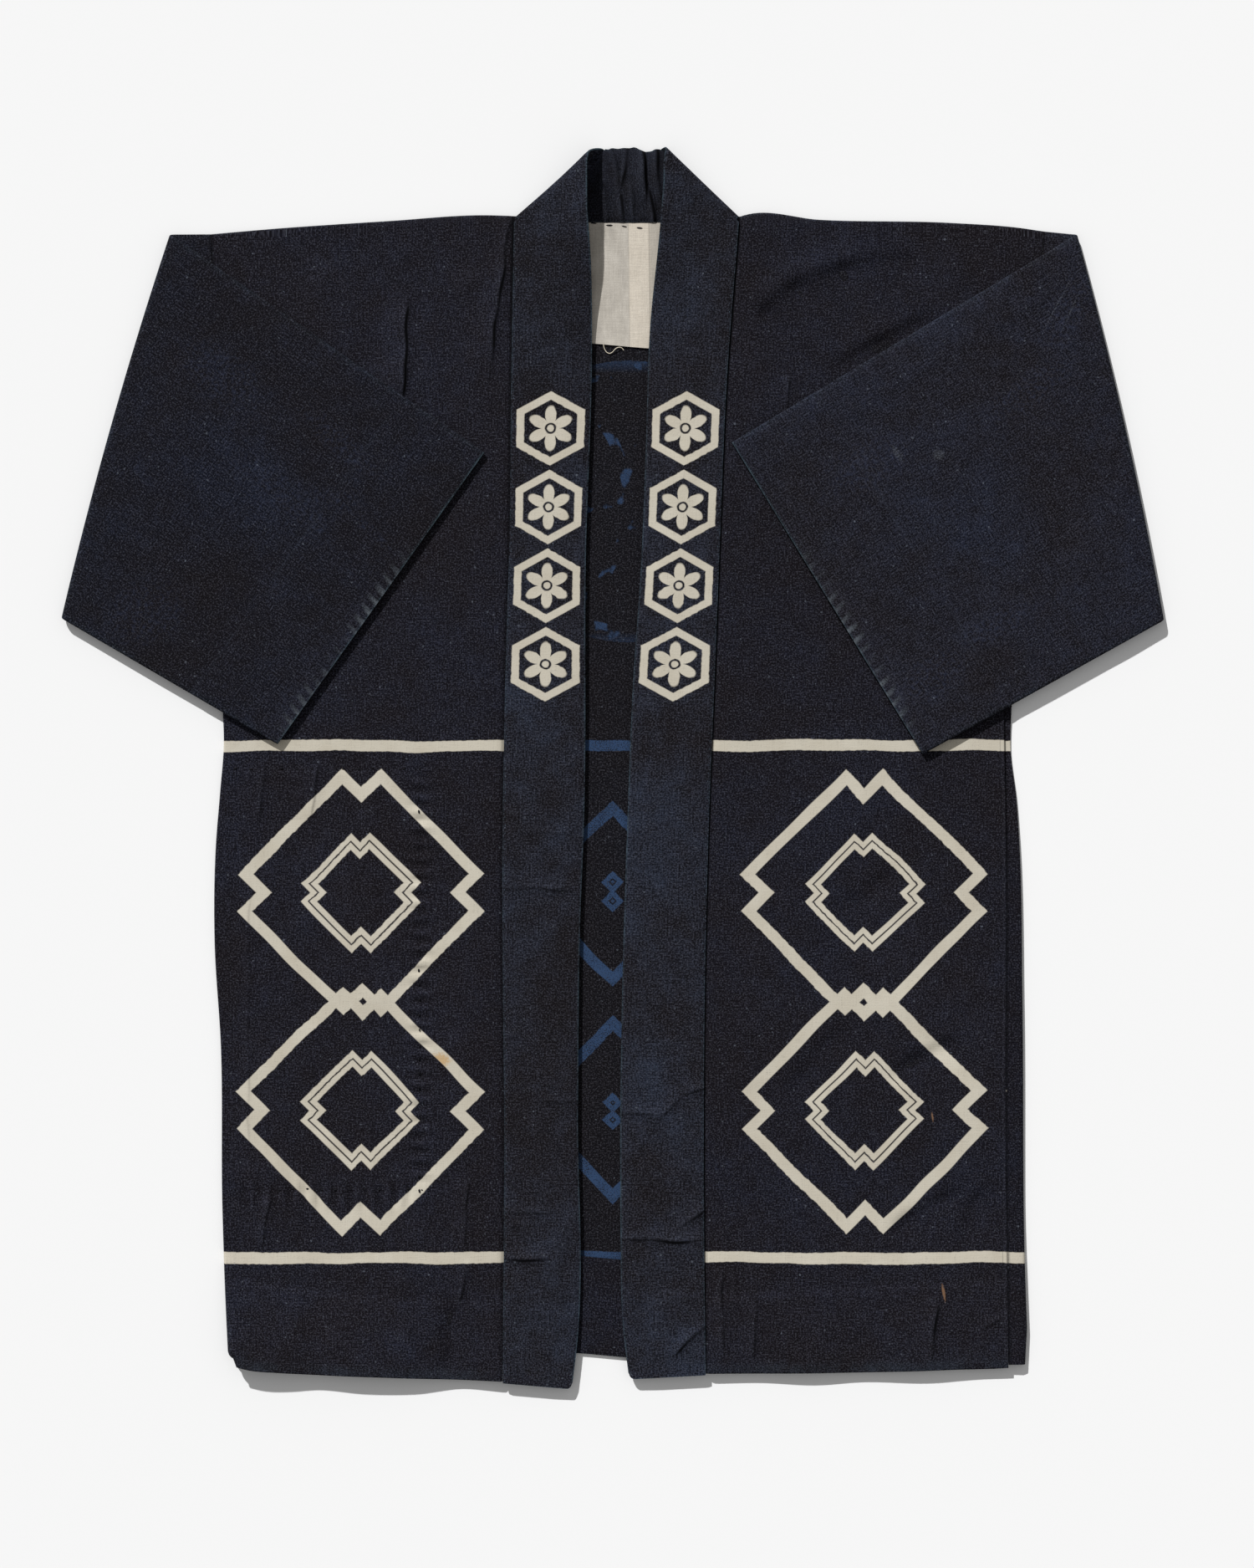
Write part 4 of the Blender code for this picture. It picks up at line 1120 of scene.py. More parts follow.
# %% Neck patch finish
PATCH_LEAN = (0.012, 0.0045)         # how the strip leans, and where it starts
PATCH_BRIGHT_FROM = 0.0125
PATCH_BRIGHT_TO = 0.0285
PATCH_CREAMS = (rgb(192, 186, 176), rgb(178, 172, 162))
PATCH_BRIGHTS = (rgb(206, 197, 183), rgb(190, 180, 165))
PATCH_THIN = rgb(146, 141, 134)
PATCH_CLEAN = rgb(202, 196, 186)
PATCH_STRIP = rgb(170, 164, 154)
# Painted shade of a fold, as a soft line at the bright strip's far side
PATCH_FOLD_SHADE = rgb(120, 114, 106)
PATCH_EDGE = rgb(140, 134, 124)
PATCH_THREAD = rgb(122, 116, 108)
PATCH_SHEEN = 0.2
# Columns: stretch across and along, scale, detail, roughness
PATCH_SOIL = ((150.0, 30.0), (1.0, 4.0, 0.6))
PATCH_BLOTCH = ((90.0, 60.0), (1.0, 3.0, 0.55))
# Half the softness of the strip's edge, then how far its other edge runs out
PATCH_SOFT = 0.0004
PATCH_RUN_OUT = 0.0012
PATCH_FOLD_SHADE_WIDTH = (0.0005, 0.0006)
PATCH_EDGE_WIDTH = (0.0003, 0.0005)


def patch_finish():
    """Undyed cotton: worn grey on the left, then a bright strip between a faint line and a line
    of painted shade where the cloth folds.
    """
    cloth = Cloth("undyed_cotton")
    soiled, blotch = (cloth.noise(cloth.stretch(cloth.flat, *stretch), *kind)
                      for stretch, kind in (PATCH_SOIL, PATCH_BLOTCH))
    u = cloth.u + cloth.v * PATCH_LEAN[0] - PATCH_LEAN[1]
    colour = cloth.blend(blotch.share(0.35, 0.65), *PATCH_CREAMS)
    strip = cloth.blend(blotch.share(0.4, 0.7) * 0.4, *PATCH_BRIGHTS)
    bright = u.share(PATCH_BRIGHT_FROM - PATCH_SOFT, PATCH_BRIGHT_FROM + PATCH_SOFT)
    past = u.share(PATCH_BRIGHT_TO, PATCH_BRIGHT_TO + PATCH_RUN_OUT)
    # A line of painted shade where the patch folds, at the strip's far side
    line = (u - PATCH_BRIGHT_TO).within(*PATCH_FOLD_SHADE_WIDTH)
    edge = (u - PATCH_BRIGHT_FROM).within(*PATCH_EDGE_WIDTH)
    threads = 1.0 - (cloth.threads + cloth.grain).share(-0.25, 0.35)
    # Columns: where it lies, how strongly, its colour
    for share, weight, shade in (
            (soiled.share(0.48, 0.68), 0.42, PATCH_THIN),
            (soiled.share(0.44, 0.30), 0.5, PATCH_CLEAN),
            (bright, 1.0, strip),
            (past, 0.8, PATCH_STRIP),
            (line, 0.5, PATCH_FOLD_SHADE),
            (edge, 0.4, PATCH_EDGE),
            (threads, 0.32, PATCH_THREAD)):
        colour = cloth.blend(share * weight, colour, shade)
    return close(cloth, colour, PATCH_SHEEN)


patch_material = patch_finish()
print(patch_material.name, "is ready")

# %% [markdown]
# ## The body lengths
# Each side of the coat is one length of cloth. It starts at the edge of the turned-up front
# hem, rolls round the hem, runs up the front and over the shoulder, and goes down the back to
# the back hem. Below the armhole a strip turns round the side. On the left side of the coat
# the back wraps round, so that the side seam shows on the front.

# %% Rows and columns of a body length
FRONT_STEP = 2.9
BACK_STEP = 12.0
SEAM_STEPS = (0.0, 0.45, 1.0, 1.8, 3.0)      # columns beside a seam, in mm from it
MAIN_WIDTH = 225.0
MAIN_COLUMNS = 74
BACK_NECK_COLUMNS = 16
ROLL_STEPS = 8
LAP_COLUMNS = 4
HEM_ROLL_STEPS = 6
CORNER_TUCK = 2.8            # how far the shoulder's corner goes under the collar's fold
TUCK_FROM = 413.0
TUCK_OVER = 7.0
FRONT_TOP = 406              # highest plain row of the front, then of the back, and its lowest
BACK_TOP = 404
BACK_LOW = -432
FIRST_ABOVE = 8              # from the hem to the first even row
HEM_ROWS_UP = 8
BACK_HEM_ROWS = 12
SHOULDER_PAUSE = 3           # cloth between the last plain row and the top of the shoulder
FOOT_WEAR = 0.25             # wear at the foot, at a rolled hem, at the shoulder and the side
FOOT_WEAR_REST = 0.2
HEM_WEAR = 0.3
SHOULDER_WEAR = 0.15
SIDE_WEAR = 0.25
ALLOWANCE = {"rise": 0.32, "width": 9.5, "edge": 1.2}     # of the centre-back seam
FOOT_STEPS = (0.5, 1.2, 2.2, 3.6, 5.4)
# How far the left side's wrapped strip lies below its front. Columns: y, drop
LAP_DROP = ((-460, 0.7), (-60, 0.8), (-20, 1.8), (10, 2.2), (50, 1.2), (113, 0.8))


def body_sheet(side, tail_on_front):
    """Points, flat places, wear and cells of a body length."""
    sign = side["sign"]
    near = np.array(SEAM_STEPS) / MAIN_WIDTH
    even = np.linspace(near[-1], 1.0 - near[-1], MAIN_COLUMNS - 2 * len(near) + 2)
    shares = np.concatenate((near, even[1:-1], 1.0 - near[::-1]))
    neck_shares = np.linspace(0.0, 1.0, BACK_NECK_COLUMNS + 1)[:-1]
    tail_columns = ROLL_STEPS + 1 + LAP_COLUMNS
    columns = BACK_NECK_COLUMNS + MAIN_COLUMNS
    rows, flats, wears, behind = [], [], [], []

    def row_y(level, x):
        """The height of a row, bent to the lines of the shoulder and the hem."""
        up = ease((level - TOP_BEND_Y) / (SHOULDER_Y - TOP_BEND_Y))
        down = ease((BOTTOM_BEND_Y - level) / (BOTTOM_BEND_Y - FOOT_Y))
        return (level + up * (read(side["shoulder"], x) - SHOULDER_Y)
                + down * (read(side["front_hem"], x) - HEM_Y))

    def main_x(level):
        """The columns of a row, from the collar's seam to the side seam."""
        line_y = row_y(level, sign * COLLAR_LINE_X)
        tuck = CORNER_TUCK * ease((line_y - TUCK_FROM) / TUCK_OVER)
        inner = read(side["collar_seam"], line_y) + sign * (SEAM - tuck)
        return inner + (read(side["side_seam"], level) - inner) * shares

    def top_z(x, y):
        """The middle of the front layer, with its fine relief."""
        return front_height(side, x, y) + front_relief(side, x, y)

    def place(x, y, z):
        """Points from arrays of their three numbers."""
        return np.stack(np.broadcast_arrays(x, y, z), axis=-1).astype(float)

    def tail(level, y, v):
        """The strip that turns round the side fold, with its flat places."""
        corner = side["corner"]
        into = max(corner - (level - FOOT_Y), 0.0)
        out = read(side["outline"], level) - sign * (corner - math.sqrt(corner ** 2 - into ** 2))
        lap_drop = 0.0 if tail_on_front else float(read(LAP_DROP, level))
        high_z = float(front_height(side, out, y)) - lap_drop
        radius = (high_z - BACK_Z) / 2
        axis = out - sign * (radius + CLOTH / 2)
        seam_x = read(side["side_seam"], level)
        laps = axis + (seam_x + sign * SEAM - axis) * np.arange(1, LAP_COLUMNS + 1) / LAP_COLUMNS
        angles = np.pi * np.arange(ROLL_STEPS + 1) / ROLL_STEPS
        roll_x = axis + sign * radius * np.sin(angles)
        roll_z = (high_z + BACK_Z) / 2 - radius * np.cos(angles)
        if tail_on_front:
            roll_z = roll_z[::-1]
            lap_z = np.full(LAP_COLUMNS, BACK_Z)
        else:
            lap_z = top_z(laps, y) - lap_drop
        x = np.concatenate((roll_x, laps))
        z = np.concatenate((roll_z, lap_z))
        arc = np.concatenate((radius * angles, radius * math.pi + np.abs(laps - axis)))
        worn = np.concatenate((np.sin(angles) ** 3, np.zeros(LAP_COLUMNS))) * SIDE_WEAR
        return place(x, y, z), place(axis + sign * arc, v, 0)[..., :2], worn

    def add(points, v, ending=None, neck=None, worn=0.0):
        """One row, with the columns behind the neck and the side's strip where it has them."""
        behind.append(neck is not None)
        neck = np.zeros((BACK_NECK_COLUMNS, 3)) if neck is None else neck
        points = np.asarray(points)
        v = np.concatenate((np.zeros(len(neck)), np.broadcast_to(v, len(points))))
        v[:len(neck)] = v[len(neck)]
        flat = np.column_stack((np.concatenate((neck[:, 0], points[:, 0])), v))
        if ending is None:
            ending = (np.zeros((tail_columns, 3)), np.zeros((tail_columns, 2)),
                      np.zeros(tail_columns))
        rows.append(np.concatenate((neck, points, ending[0])))
        flats.append(np.concatenate((flat, ending[1])))
        wears.append(np.concatenate((np.full(columns, worn), np.maximum(ending[2], worn))))

    # The turned-up front hem and its roll
    drop = LAYER / 2 + CLOTH / 2
    x = main_x(FOOT_Y)
    hem = read(side["front_hem"], x)
    upper = place(x, hem + drop, top_z(x, hem + drop))
    lower = upper - (0, 0, LAYER)
    for depth in np.linspace(HEM_DEPTH, 0.0, HEM_ROWS_UP)[:-1]:
        y = hem + drop + depth
        add(place(x, y, front_height(side, x, y) - LAYER), HEM_Y - depth)
    add(lower, HEM_Y)
    for line in half_roll(lower, upper, np.array((0, -1, 0)), HEM_ROLL_STEPS):
        add(line, hem, worn=HEM_WEAR)

    # The front
    ending = tail(FOOT_Y, upper[-1, 1] - drop, hem[-1]) if tail_on_front else None
    add(upper, hem, ending, worn=FOOT_WEAR)
    low_levels = np.linspace(FOOT_Y + FIRST_ABOVE, UNDERARM_Y,
                             round((UNDERARM_Y - FOOT_Y) / FRONT_STEP))
    low_levels = np.concatenate((FOOT_Y + np.array(FOOT_STEPS), low_levels))
    high_levels = np.linspace(UNDERARM_Y, FRONT_TOP,
                              round((FRONT_TOP - UNDERARM_Y) / FRONT_STEP))[1:]
    for level in np.concatenate((low_levels, high_levels)):
        x = main_x(level)
        y = row_y(level, x)
        points = place(x, y, top_z(x, y))
        ending = None
        if tail_on_front and level <= UNDERARM_Y:
            ending = tail(level, y[-1], y[-1])
        add(points, y, ending, worn=math.exp(-(level - FOOT_Y) / 2.0) * FOOT_WEAR_REST)

    # Over the shoulder
    x = main_x(NECK_Y)
    crest = read(side["shoulder"], x)
    z = top_z(x, crest)
    y = crest - CLOTH / 2 - (z - BACK_Z) / 2
    high = place(x, y, z)
    low = place(x, y, BACK_Z)
    add(high, SHOULDER_Y - SHOULDER_PAUSE)
    for line in half_roll(high, low, np.array((0, 1, 0)), ROLL_STEPS):
        add(line, SHOULDER_Y, worn=SHOULDER_WEAR)

    # The back, its hem and the turned-up edge inside
    split = x[0]

    def back_x(level):
        """The columns behind the neck, and those of the rest of the back."""
        centre = read(CENTRE_BACK, level) + sign * CENTRE_SEAM / 2
        return (centre + (split - centre) * neck_shares,
                split + (read(side["side_seam"], level) - split) * shares)

    def seam_ridge(x, y):
        """The seam allowance pressed to one side of the centre-back seam."""
        away = x - read(CENTRE_BACK, y)
        return ALLOWANCE["rise"] * between(away, 0.0, ALLOWANCE["width"], ALLOWANCE["edge"])

    neck_x = back_x(SHOULDER_Y)[0]
    low[0, 1] = min(low[0, 1], read(NECKLINE, split) - SEAM)
    add(low, SHOULDER_Y + SHOULDER_PAUSE,
        neck=place(neck_x, read(NECKLINE, neck_x) - SEAM, BACK_Z))
    upper_levels = np.linspace(BACK_TOP, UNDERARM_Y, round((BACK_TOP - UNDERARM_Y) / BACK_STEP))
    step = BACK_STEP if tail_on_front else FRONT_STEP
    lower_levels = np.linspace(UNDERARM_Y, BACK_LOW, round((UNDERARM_Y - BACK_LOW) / step))[1:]
    for level in np.concatenate((upper_levels, lower_levels)):
        neck_x, x = back_x(level)
        bent = level >= BOTTOM_BEND_Y
        neck_y = row_y(level, neck_x) if bent else np.full_like(neck_x, level)
        y = row_y(level, x) if bent else np.full_like(x, level)
        ending = None
        if not tail_on_front and level <= UNDERARM_Y:
            ending = tail(level, y[-1], 2 * SHOULDER_Y - y[-1])
        add(place(x, y, BACK_Z), 2 * SHOULDER_Y - y, ending,
            neck=place(neck_x, neck_y, BACK_Z + seam_ridge(neck_x, neck_y)))
    neck_x, x = back_x(FOOT_Y)
    whole_x = np.concatenate((neck_x, x))
    foot = place(whole_x, read(BACK_HEM, whole_x) + drop, BACK_Z)
    over = foot + (0, 0, LAYER)
    back_foot = 2 * SHOULDER_Y - HEM_Y
    ending = None if tail_on_front else tail(FOOT_Y, foot[-1, 1] - drop, back_foot)
    cut = BACK_NECK_COLUMNS
    add(foot[cut:], back_foot, ending, neck=foot[:cut])
    for line in half_roll(foot, over, np.array((0, -1, 0)), HEM_ROLL_STEPS):
        add(line[cut:], back_foot, neck=line[:cut], worn=HEM_WEAR)
    for depth in np.linspace(0.0, BACK_HEM_DEPTH, BACK_HEM_ROWS):
        line = over + (0, depth, 0)
        add(line[cut:], back_foot + depth, neck=line[:cut])

    points = np.array(rows)
    cells = np.zeros((len(rows) - 1, points.shape[1] - 1), bool)
    cells[:, BACK_NECK_COLUMNS:columns - 1] = True
    for i in range(len(rows) - 1):
        cells[i, :BACK_NECK_COLUMNS] = behind[i]
        if points[i, columns, 0] != 0 and points[i + 1, columns, 0] != 0:
            cells[i, columns - 1:] = True
    return points, np.array(flats), np.array(wears), cells


# %% Make the two body lengths
PUFF_SHADING = 2.3           # how strongly the lining's puffs are painted pale and dark, and how pale the painted highlight on the edge of the hem is
HEM_HIGHLIGHT = 1.3
HEM_HIGHLIGHT_AT = 3.0
HEM_HIGHLIGHT_WIDTH = 2.6
DASH_SHARE = 0.4
STRIP_SHADE = 1.6          # how dark the painted shade on the left side's wrapped strip is
SEAM_REACH = 3.4          # a seam's dark line, painted shadow in its groove, ends this far from it
SEAM_INSIDE = -4.0
SEAM_SHIFT = 0.2
SEAM_END = 4.0            # the seams' lines end this far from the underarm
ARMHOLE_DEPTH = 0.8
PALEST = 1.2
STRIP_OVER = 3.0
ON_TOP_FROM = 0.8         # how far below the armhole's height the outside ends


def make_body(name, side, tail_on_front, outside):
    """Lay out a body length, mark its seams and tones, with painted light and shade on its
    relief, and make its wall.
    """
    points, flat, wear, cells = body_sheet(side, tail_on_front)
    x, y = points[..., 0], points[..., 1]
    past_side = side["sign"] * (x - read(side["side_seam"], y))
    to_collar = side["sign"] * (x - read(side["collar_seam"], y)) + SEAM_SHIFT
    to_armhole = SEAM_SHIFT - past_side
    at_collar = (to_collar > SEAM_INSIDE) & (to_collar < SEAM_REACH)
    at_armhole = (to_armhole < SEAM_REACH) & (y > UNDERARM_Y + SEAM_END)
    at_side = (np.abs(past_side) < SEAM_REACH) & (y < UNDERARM_Y - SEAM_END)
    away, depth = crease_marks(FRONT_CREASES, x, y)
    # At the seams the crease marks stand for the grooves: a bump, painted shadow along the
    # groove and a pale painted highlight on its ridge
    for near, from_seam, seam_depth in ((at_collar, to_collar, read(side["seam_depth"], y)),
                                        (at_armhole, to_armhole, ARMHOLE_DEPTH),
                                        (at_side, past_side, side["side_seam_depth"])):
        away = np.where(near, from_seam, away)
        depth = np.where(near, seam_depth, depth)
    # The dye paints this relief as light and shade: creases and folds, the puffs, a dashed
    # painted highlight at the hem's edge, and painted shade on the wrapped strip
    relief = np.minimum(front_relief(side, x, y) + creases(FRONT_FOLDS, x, y), PALEST)
    below_hem = read(STITCH_LINE, x) - y
    dashes = 1.0 - DASH_SHARE + DASH_SHARE * np.cos(4 * math.pi * x / HEM_STITCH)
    relief = (relief + PUFF_SHADING * lining_puckers(x, y)
              + HEM_HIGHLIGHT * dashes * bell(below_hem - HEM_HIGHLIGHT_AT, HEM_HIGHLIGHT_WIDTH)
              - STRIP_SHADE * side["side_seam_depth"] * ease(past_side / STRIP_OVER))
    on_top = points[..., 2] > ARMHOLE_Z - ON_TOP_FROM
    return shell(name, points, flat, wear, CLOTH, body_material, outside=outside, cells=cells,
                 marks=(away, np.where(on_top, depth, 0.0), np.where(on_top, relief, 0.0)))


body_right = make_body("body_right_cloth", RIGHT, True, 1)
body_left = make_body("body_left_cloth", LEFT, False, -1)

# %% [markdown]
# ## The sleeves
# A sleeve is a flat tube, folded along the shoulder and seamed under the arm. It is laid out
# straight first, and then bent about its fold line, so that both layers go round the fold.

# %% Rings of a sleeve
FOLD_BULGE = 3.6
FOLD_BULGE_REACH = 50.0
UNDERARM_RISE = 0.8
FLAP_CLEARANCE = 1.4
FLAP_SINK = 0.8                   # how far the flap comes down, and over what distance
FLAP_SINK_OVER = 130.0
FLAP_FIRMNESS = 2.5
FLAP_RISE_OVER = 40.0
SLEEVE_STEP = 4.0
CUFF_STEPS = (0.5, 1.2, 2.4)      # rings beside the cuff, in mm from it
SLEEVE_CELLS = 84
ROLLED_WEAR = 0.06
FACING_RISE = 0.35                # the cuff's turned-up edge under the cloth
FOLD_MARK = 0.35                  # the ridge of an old fold, below the top edge
FOLD_MARK_AT = 30.0
SLEEVE_EDGE_STEPS = 6
ARMHOLE_RINGS = 14
ARMHOLE_SHARE = 0.94      # of the way to the fold line, where the bend begins
BENT_RINGS = 13
FOLD_MARK_WIDTHS = (7.0, 2.4)
FACING_EDGES = (3.0, 6.0)
CUFF_WEAR = 0.6
CUFF_WEAR_WIDTH = 0.9
FOLDED_WEAR = 0.15
FOLDED_WIDTH = 2.5
PALE_AT = 4.0             # the middle and half width of the paler top edge
PALE_WIDTH = 5.0
GLOW_REACH = 22.0
SLEEVE_CREASE_SHADING = 1.5         # how much creases, as painted light and shade, the cuff's edge and its glows change the tone
EDGE_TONE = 2.0
GLOW_TONE = 2.4
# Columns: x, y, radius
CUFF_GLOWS = ((-226, 58, 34), (-250, 30, 20), (-196, 108, 26), (168, 112, 36), (206, 56, 30))
# Columns: x, y, rise, radius
FLAP_LIFTS = (
    (-262, 22, 0.5, 48),
    (-340, 66, 0.9, 55),
    (-240, 230, 0.7, 50),
    (-330, 250, 0.8, 50),
    (166, 128, 1.4, 58),
    (240, 14, 0.9, 48),
    (330, 62, 1.0, 60),
    (418, 118, 0.8, 40),
    (250, 250, 0.8, 55),
)
SLEEVE_CREASES = (
    (-300, 372, -180, 282, 0.5, 12),
    (-270, 160, -232, 60, 0.5, 14),
    (-380, 190, -300, 120, 0.5, 16),
    (-330, 330, -350, 230, 0.5, 12),
    (330, 372, 190, 296, 0.5, 12),
    (190, 262, 214, 180, 0.5, 12),
    (300, 160, 262, 70, 0.5, 14),
    (392, 220, 340, 130, 0.6, 16),
    (316, 330, 336, 230, 0.5, 12),
)


def sleeve_sheet(side):
    """Points, flat places and wear of a sleeve, ring by ring from armhole to cuff."""
    sign = side["sign"]
    lies = {name: np.array(point) for name, point in side["sleeve"].items()}
    low_z, high_z = BACK_Z, ARMHOLE_Z
    neutral = SLEEVE_FOLD_Z - (low_z + high_z) / 2
    run = lies["fold_bottom"] - lies["fold_top"]
    length = np.linalg.norm(run)
    run = run / length
    outward = np.array((-run[1], run[0]))
    if outward[0] * sign < 0:
        outward = -outward
    inset = SLEEVE_FOLD_Z - low_z + CLOTH / 2
    top = lies["fold_top"] - outward * inset
    bottom = lies["fold_bottom"] - outward * inset

    def unfold(point):
        """Where a point of the flap lies before the sleeve is bent."""
        away = np.dot(point - top, outward)
        return point + outward * (math.pi * neutral - 2 * away)

    cuff = (unfold(lies["cuff_top"]), unfold(lies["cuff_bottom"]))
    armhole_x = float(read(side["side_seam"], SHOULDER_Y))
    underarm = UNDERARM_Y + UNDERARM_RISE
    armhole = (np.array((armhole_x + sign * SEAM, float(read(side["shoulder"], armhole_x)))),
               np.array((float(read(side["side_seam"], underarm)) + sign * SEAM, underarm)))
    stations = [tuple(a + (b - a) * share for a, b in zip(armhole, (top, bottom)))
                for share in np.linspace(0.0, ARMHOLE_SHARE, ARMHOLE_RINGS)]
    for step in range(BENT_RINGS):
        away = math.pi * neutral * step / (BENT_RINGS - 1)
        stations.append(tuple(hinge + (end - hinge) * away / np.dot(end - hinge, outward)
                              for hinge, end in zip((top, bottom), cuff)))
    bent = stations[-1]
    reach = np.linalg.norm(cuff[0] - bent[0])
    far = np.linspace(0.0, 1.0 - CUFF_STEPS[-1] / reach, round(reach / SLEEVE_STEP))[1:]
    near = 1.0 - np.array((*CUFF_STEPS[1::-1], 0.0)) / reach
    for share in np.concatenate((far, near)):
        stations.append(tuple(a + (b - a) * share for a, b in zip(bent, cuff)))

    rings = []
    radius = (high_z - low_z) / 2
    middle_z = (low_z + high_z) / 2
    turn = math.pi * np.arange(SLEEVE_EDGE_STEPS) / SLEEVE_EDGE_STEPS
    along = np.linspace(0.0, 1.0, SLEEVE_CELLS + 1)[:-1, None]
    for start, end in stations:
        down = (end - start) / np.linalg.norm(end - start)
        first = start + down * (radius + CLOTH / 2)
        last = end - down * (radius + CLOTH / 2)
        ring = []
        for near, far, way, z in ((first, last, -1, high_z), (last, first, 1, low_z)):
            edge = near + way * down * radius * np.sin(turn)[:, None]
            ring.append(np.column_stack((edge, middle_z + way * radius * np.cos(turn))))
            layer = near + (far - near) * along
            ring.append(np.column_stack((layer, np.full(SLEEVE_CELLS, z))))
        rings.append(np.concatenate(ring))
    straight = np.array(rings)

    plan = straight[..., :2]
    away = (plan - top) @ outward
    radius = SLEEVE_FOLD_Z - straight[..., 2]
    angle = np.clip(away / neutral, 0.0, math.pi)
    beyond = np.maximum(away - math.pi * neutral, 0.0)
    out = np.where(away <= 0, away, radius * np.sin(angle) - beyond)
    moved = plan + outward * (out - away)[..., None]
    z = np.where(away <= 0, straight[..., 2], SLEEVE_FOLD_Z - radius * np.cos(angle))
    share = np.clip(((moved - top) @ run) / length, 0.0, 1.0)
    inside = (top - moved) @ outward
    bow = FOLD_BULGE * 4 * share * (1 - share) * bell(inside, FOLD_BULGE_REACH)
    moved = moved + outward * bow[..., None]
    x, y = moved[..., 0], moved[..., 1]
    sink = FLAP_SINK * ease(beyond / FLAP_SINK_OVER)
    over = front_height(side, x, y) + FLAP_CLEARANCE - (2 * SLEEVE_FOLD_Z - high_z) + sink
    rise = np.log1p(np.exp(FLAP_FIRMNESS * over)) / FLAP_FIRMNESS - sink
    for lift_x, lift_y, height, spread in FLAP_LIFTS:
        rise = rise + height * bell(np.hypot(x - lift_x, y - lift_y), spread)
    rise = rise + creases(SLEEVE_CREASES, x, y)
    z = z + rise * ease(beyond / FLAP_RISE_OVER)
    points = np.dstack((x, y, z))

    on_back = straight[..., 2] < middle_z
    cuff_run = (cuff[1] - cuff[0]) / np.linalg.norm(cuff[1] - cuff[0])
    cuff_length = np.linalg.norm(cuff[1] - cuff[0])
    inward = np.array((-cuff_run[1], cuff_run[0]))
    if np.dot(armhole[0] - cuff[0], inward) < 0:
        inward = -inward
    u = (plan - cuff[0]) @ inward
    v = (plan - cuff[0]) @ cuff_run
    facing = (FACING_RISE * ease((side["facing"] - u) / FACING_EDGES[0])
              * ease(u / FACING_EDGES[1]))
    from_top = v - FOLD_MARK_AT
    mark = FOLD_MARK * bell(from_top, np.where(from_top < 0, *FOLD_MARK_WIDTHS))
    points[..., 2] += (facing + mark * on_back) * ease(beyond / FLAP_RISE_OVER)
    flat = np.dstack((u, np.where(on_back, v, 2 * cuff_length - v)))
    rolled = np.zeros(straight.shape[1])
    for first in (0, SLEEVE_EDGE_STEPS + SLEEVE_CELLS):
        rolled[first:first + SLEEVE_EDGE_STEPS + 1] = ROLLED_WEAR
    edge = np.maximum(bell(u, CUFF_WEAR_WIDTH) * CUFF_WEAR, rolled)
    fold = bell(away - math.pi * neutral / 2, FOLDED_WIDTH) * FOLDED_WEAR
    # Crease heights become painted light on ridges and painted shade in troughs
    relief = creases(SLEEVE_CREASES, x, y) * SLEEVE_CREASE_SHADING + side["sleeve_tone"]
    relief = relief + EDGE_TONE * bell(v - PALE_AT, PALE_WIDTH) * side["pale_edge"]
    for glow_x, glow_y, radius in CUFF_GLOWS:
        glow = bell(np.hypot(x - glow_x, y - glow_y), radius)
        relief = relief + GLOW_TONE * glow * bell(u, GLOW_REACH)
    return points, flat, np.maximum(edge, fold), relief


# %% Make the two sleeves
def make_sleeve(name, side, outside):
    """Lay out a sleeve and make its wall. It has no sharp creases."""
    points, flat, wear, relief = sleeve_sheet(side)
    none = np.zeros(relief.shape)
    return shell(name, points, flat, wear, CLOTH, sleeve_material, outside=outside, ring=True,
                 marks=(none + NO_MARK, none, relief))


sleeve_right = make_sleeve("sleeve_right_cloth", RIGHT, 1)
sleeve_left = make_sleeve("sleeve_left_cloth", LEFT, -1)

# %% [markdown]
# ## The collar
# The collar is one long doubled band. It comes up the right front, folds back on itself along
# a slanting crease at the neck, lies behind the neck with small puckers where the seam eases
# it, and folds forward again to go down the left front.

# %% Stations of the collar band
BAND_STEP = 2.7
BAND_COLUMNS = 28
BAND_WIDTH = 58.0
BAND_DROOP = 0.5
BAND_DROOP_FROM = 0.6
BAND_FOOT_Y = -475.0
BAND_FOOT_LIFT = 1.0
NECK_RISE_POWER = 1.6     # how late the rise comes on the way from the seam to the free edge
PUCKER_START = 0.12
BACK_BAND_STEP = 1.6
FIRST_ROW = 5.0
FOOT_SHARES = (0.0, 0.15, 0.35, 0.65)
FOOT_CORNER = 4.4         # radius of the band's lower corner at its free edge
TURN_STEPS = 12
EDGE_WIDTH = 1.8          # the band thins to its edges over this
BAND_CREASE_RISE = 1.3
FREE_EDGE_WEAR = 0.6
SEAM_EDGE_WEAR = 0.3
WEAR_WIDTH = 0.7
END_WEAR = 0.4
# Places along the flat band: of the crease, across it and from line to line, and of the neck
CREASE_FLAT = (440.0, 28.0, 0.8)
NECK_FLAT = 520.0
UPPER_TONE = 1.1          # the right band is darker above the chest
UPPER_FROM = 180.0
UPPER_OVER = 120.0
# Columns: y at the seam, y at the free edge
BAND_FAN = ((392, 392), (400, 406), (406, 418), (409.5, 429), (412, 440), (414.5, 448),
            (416.5, 455), (418, 460), (419.5, 464))
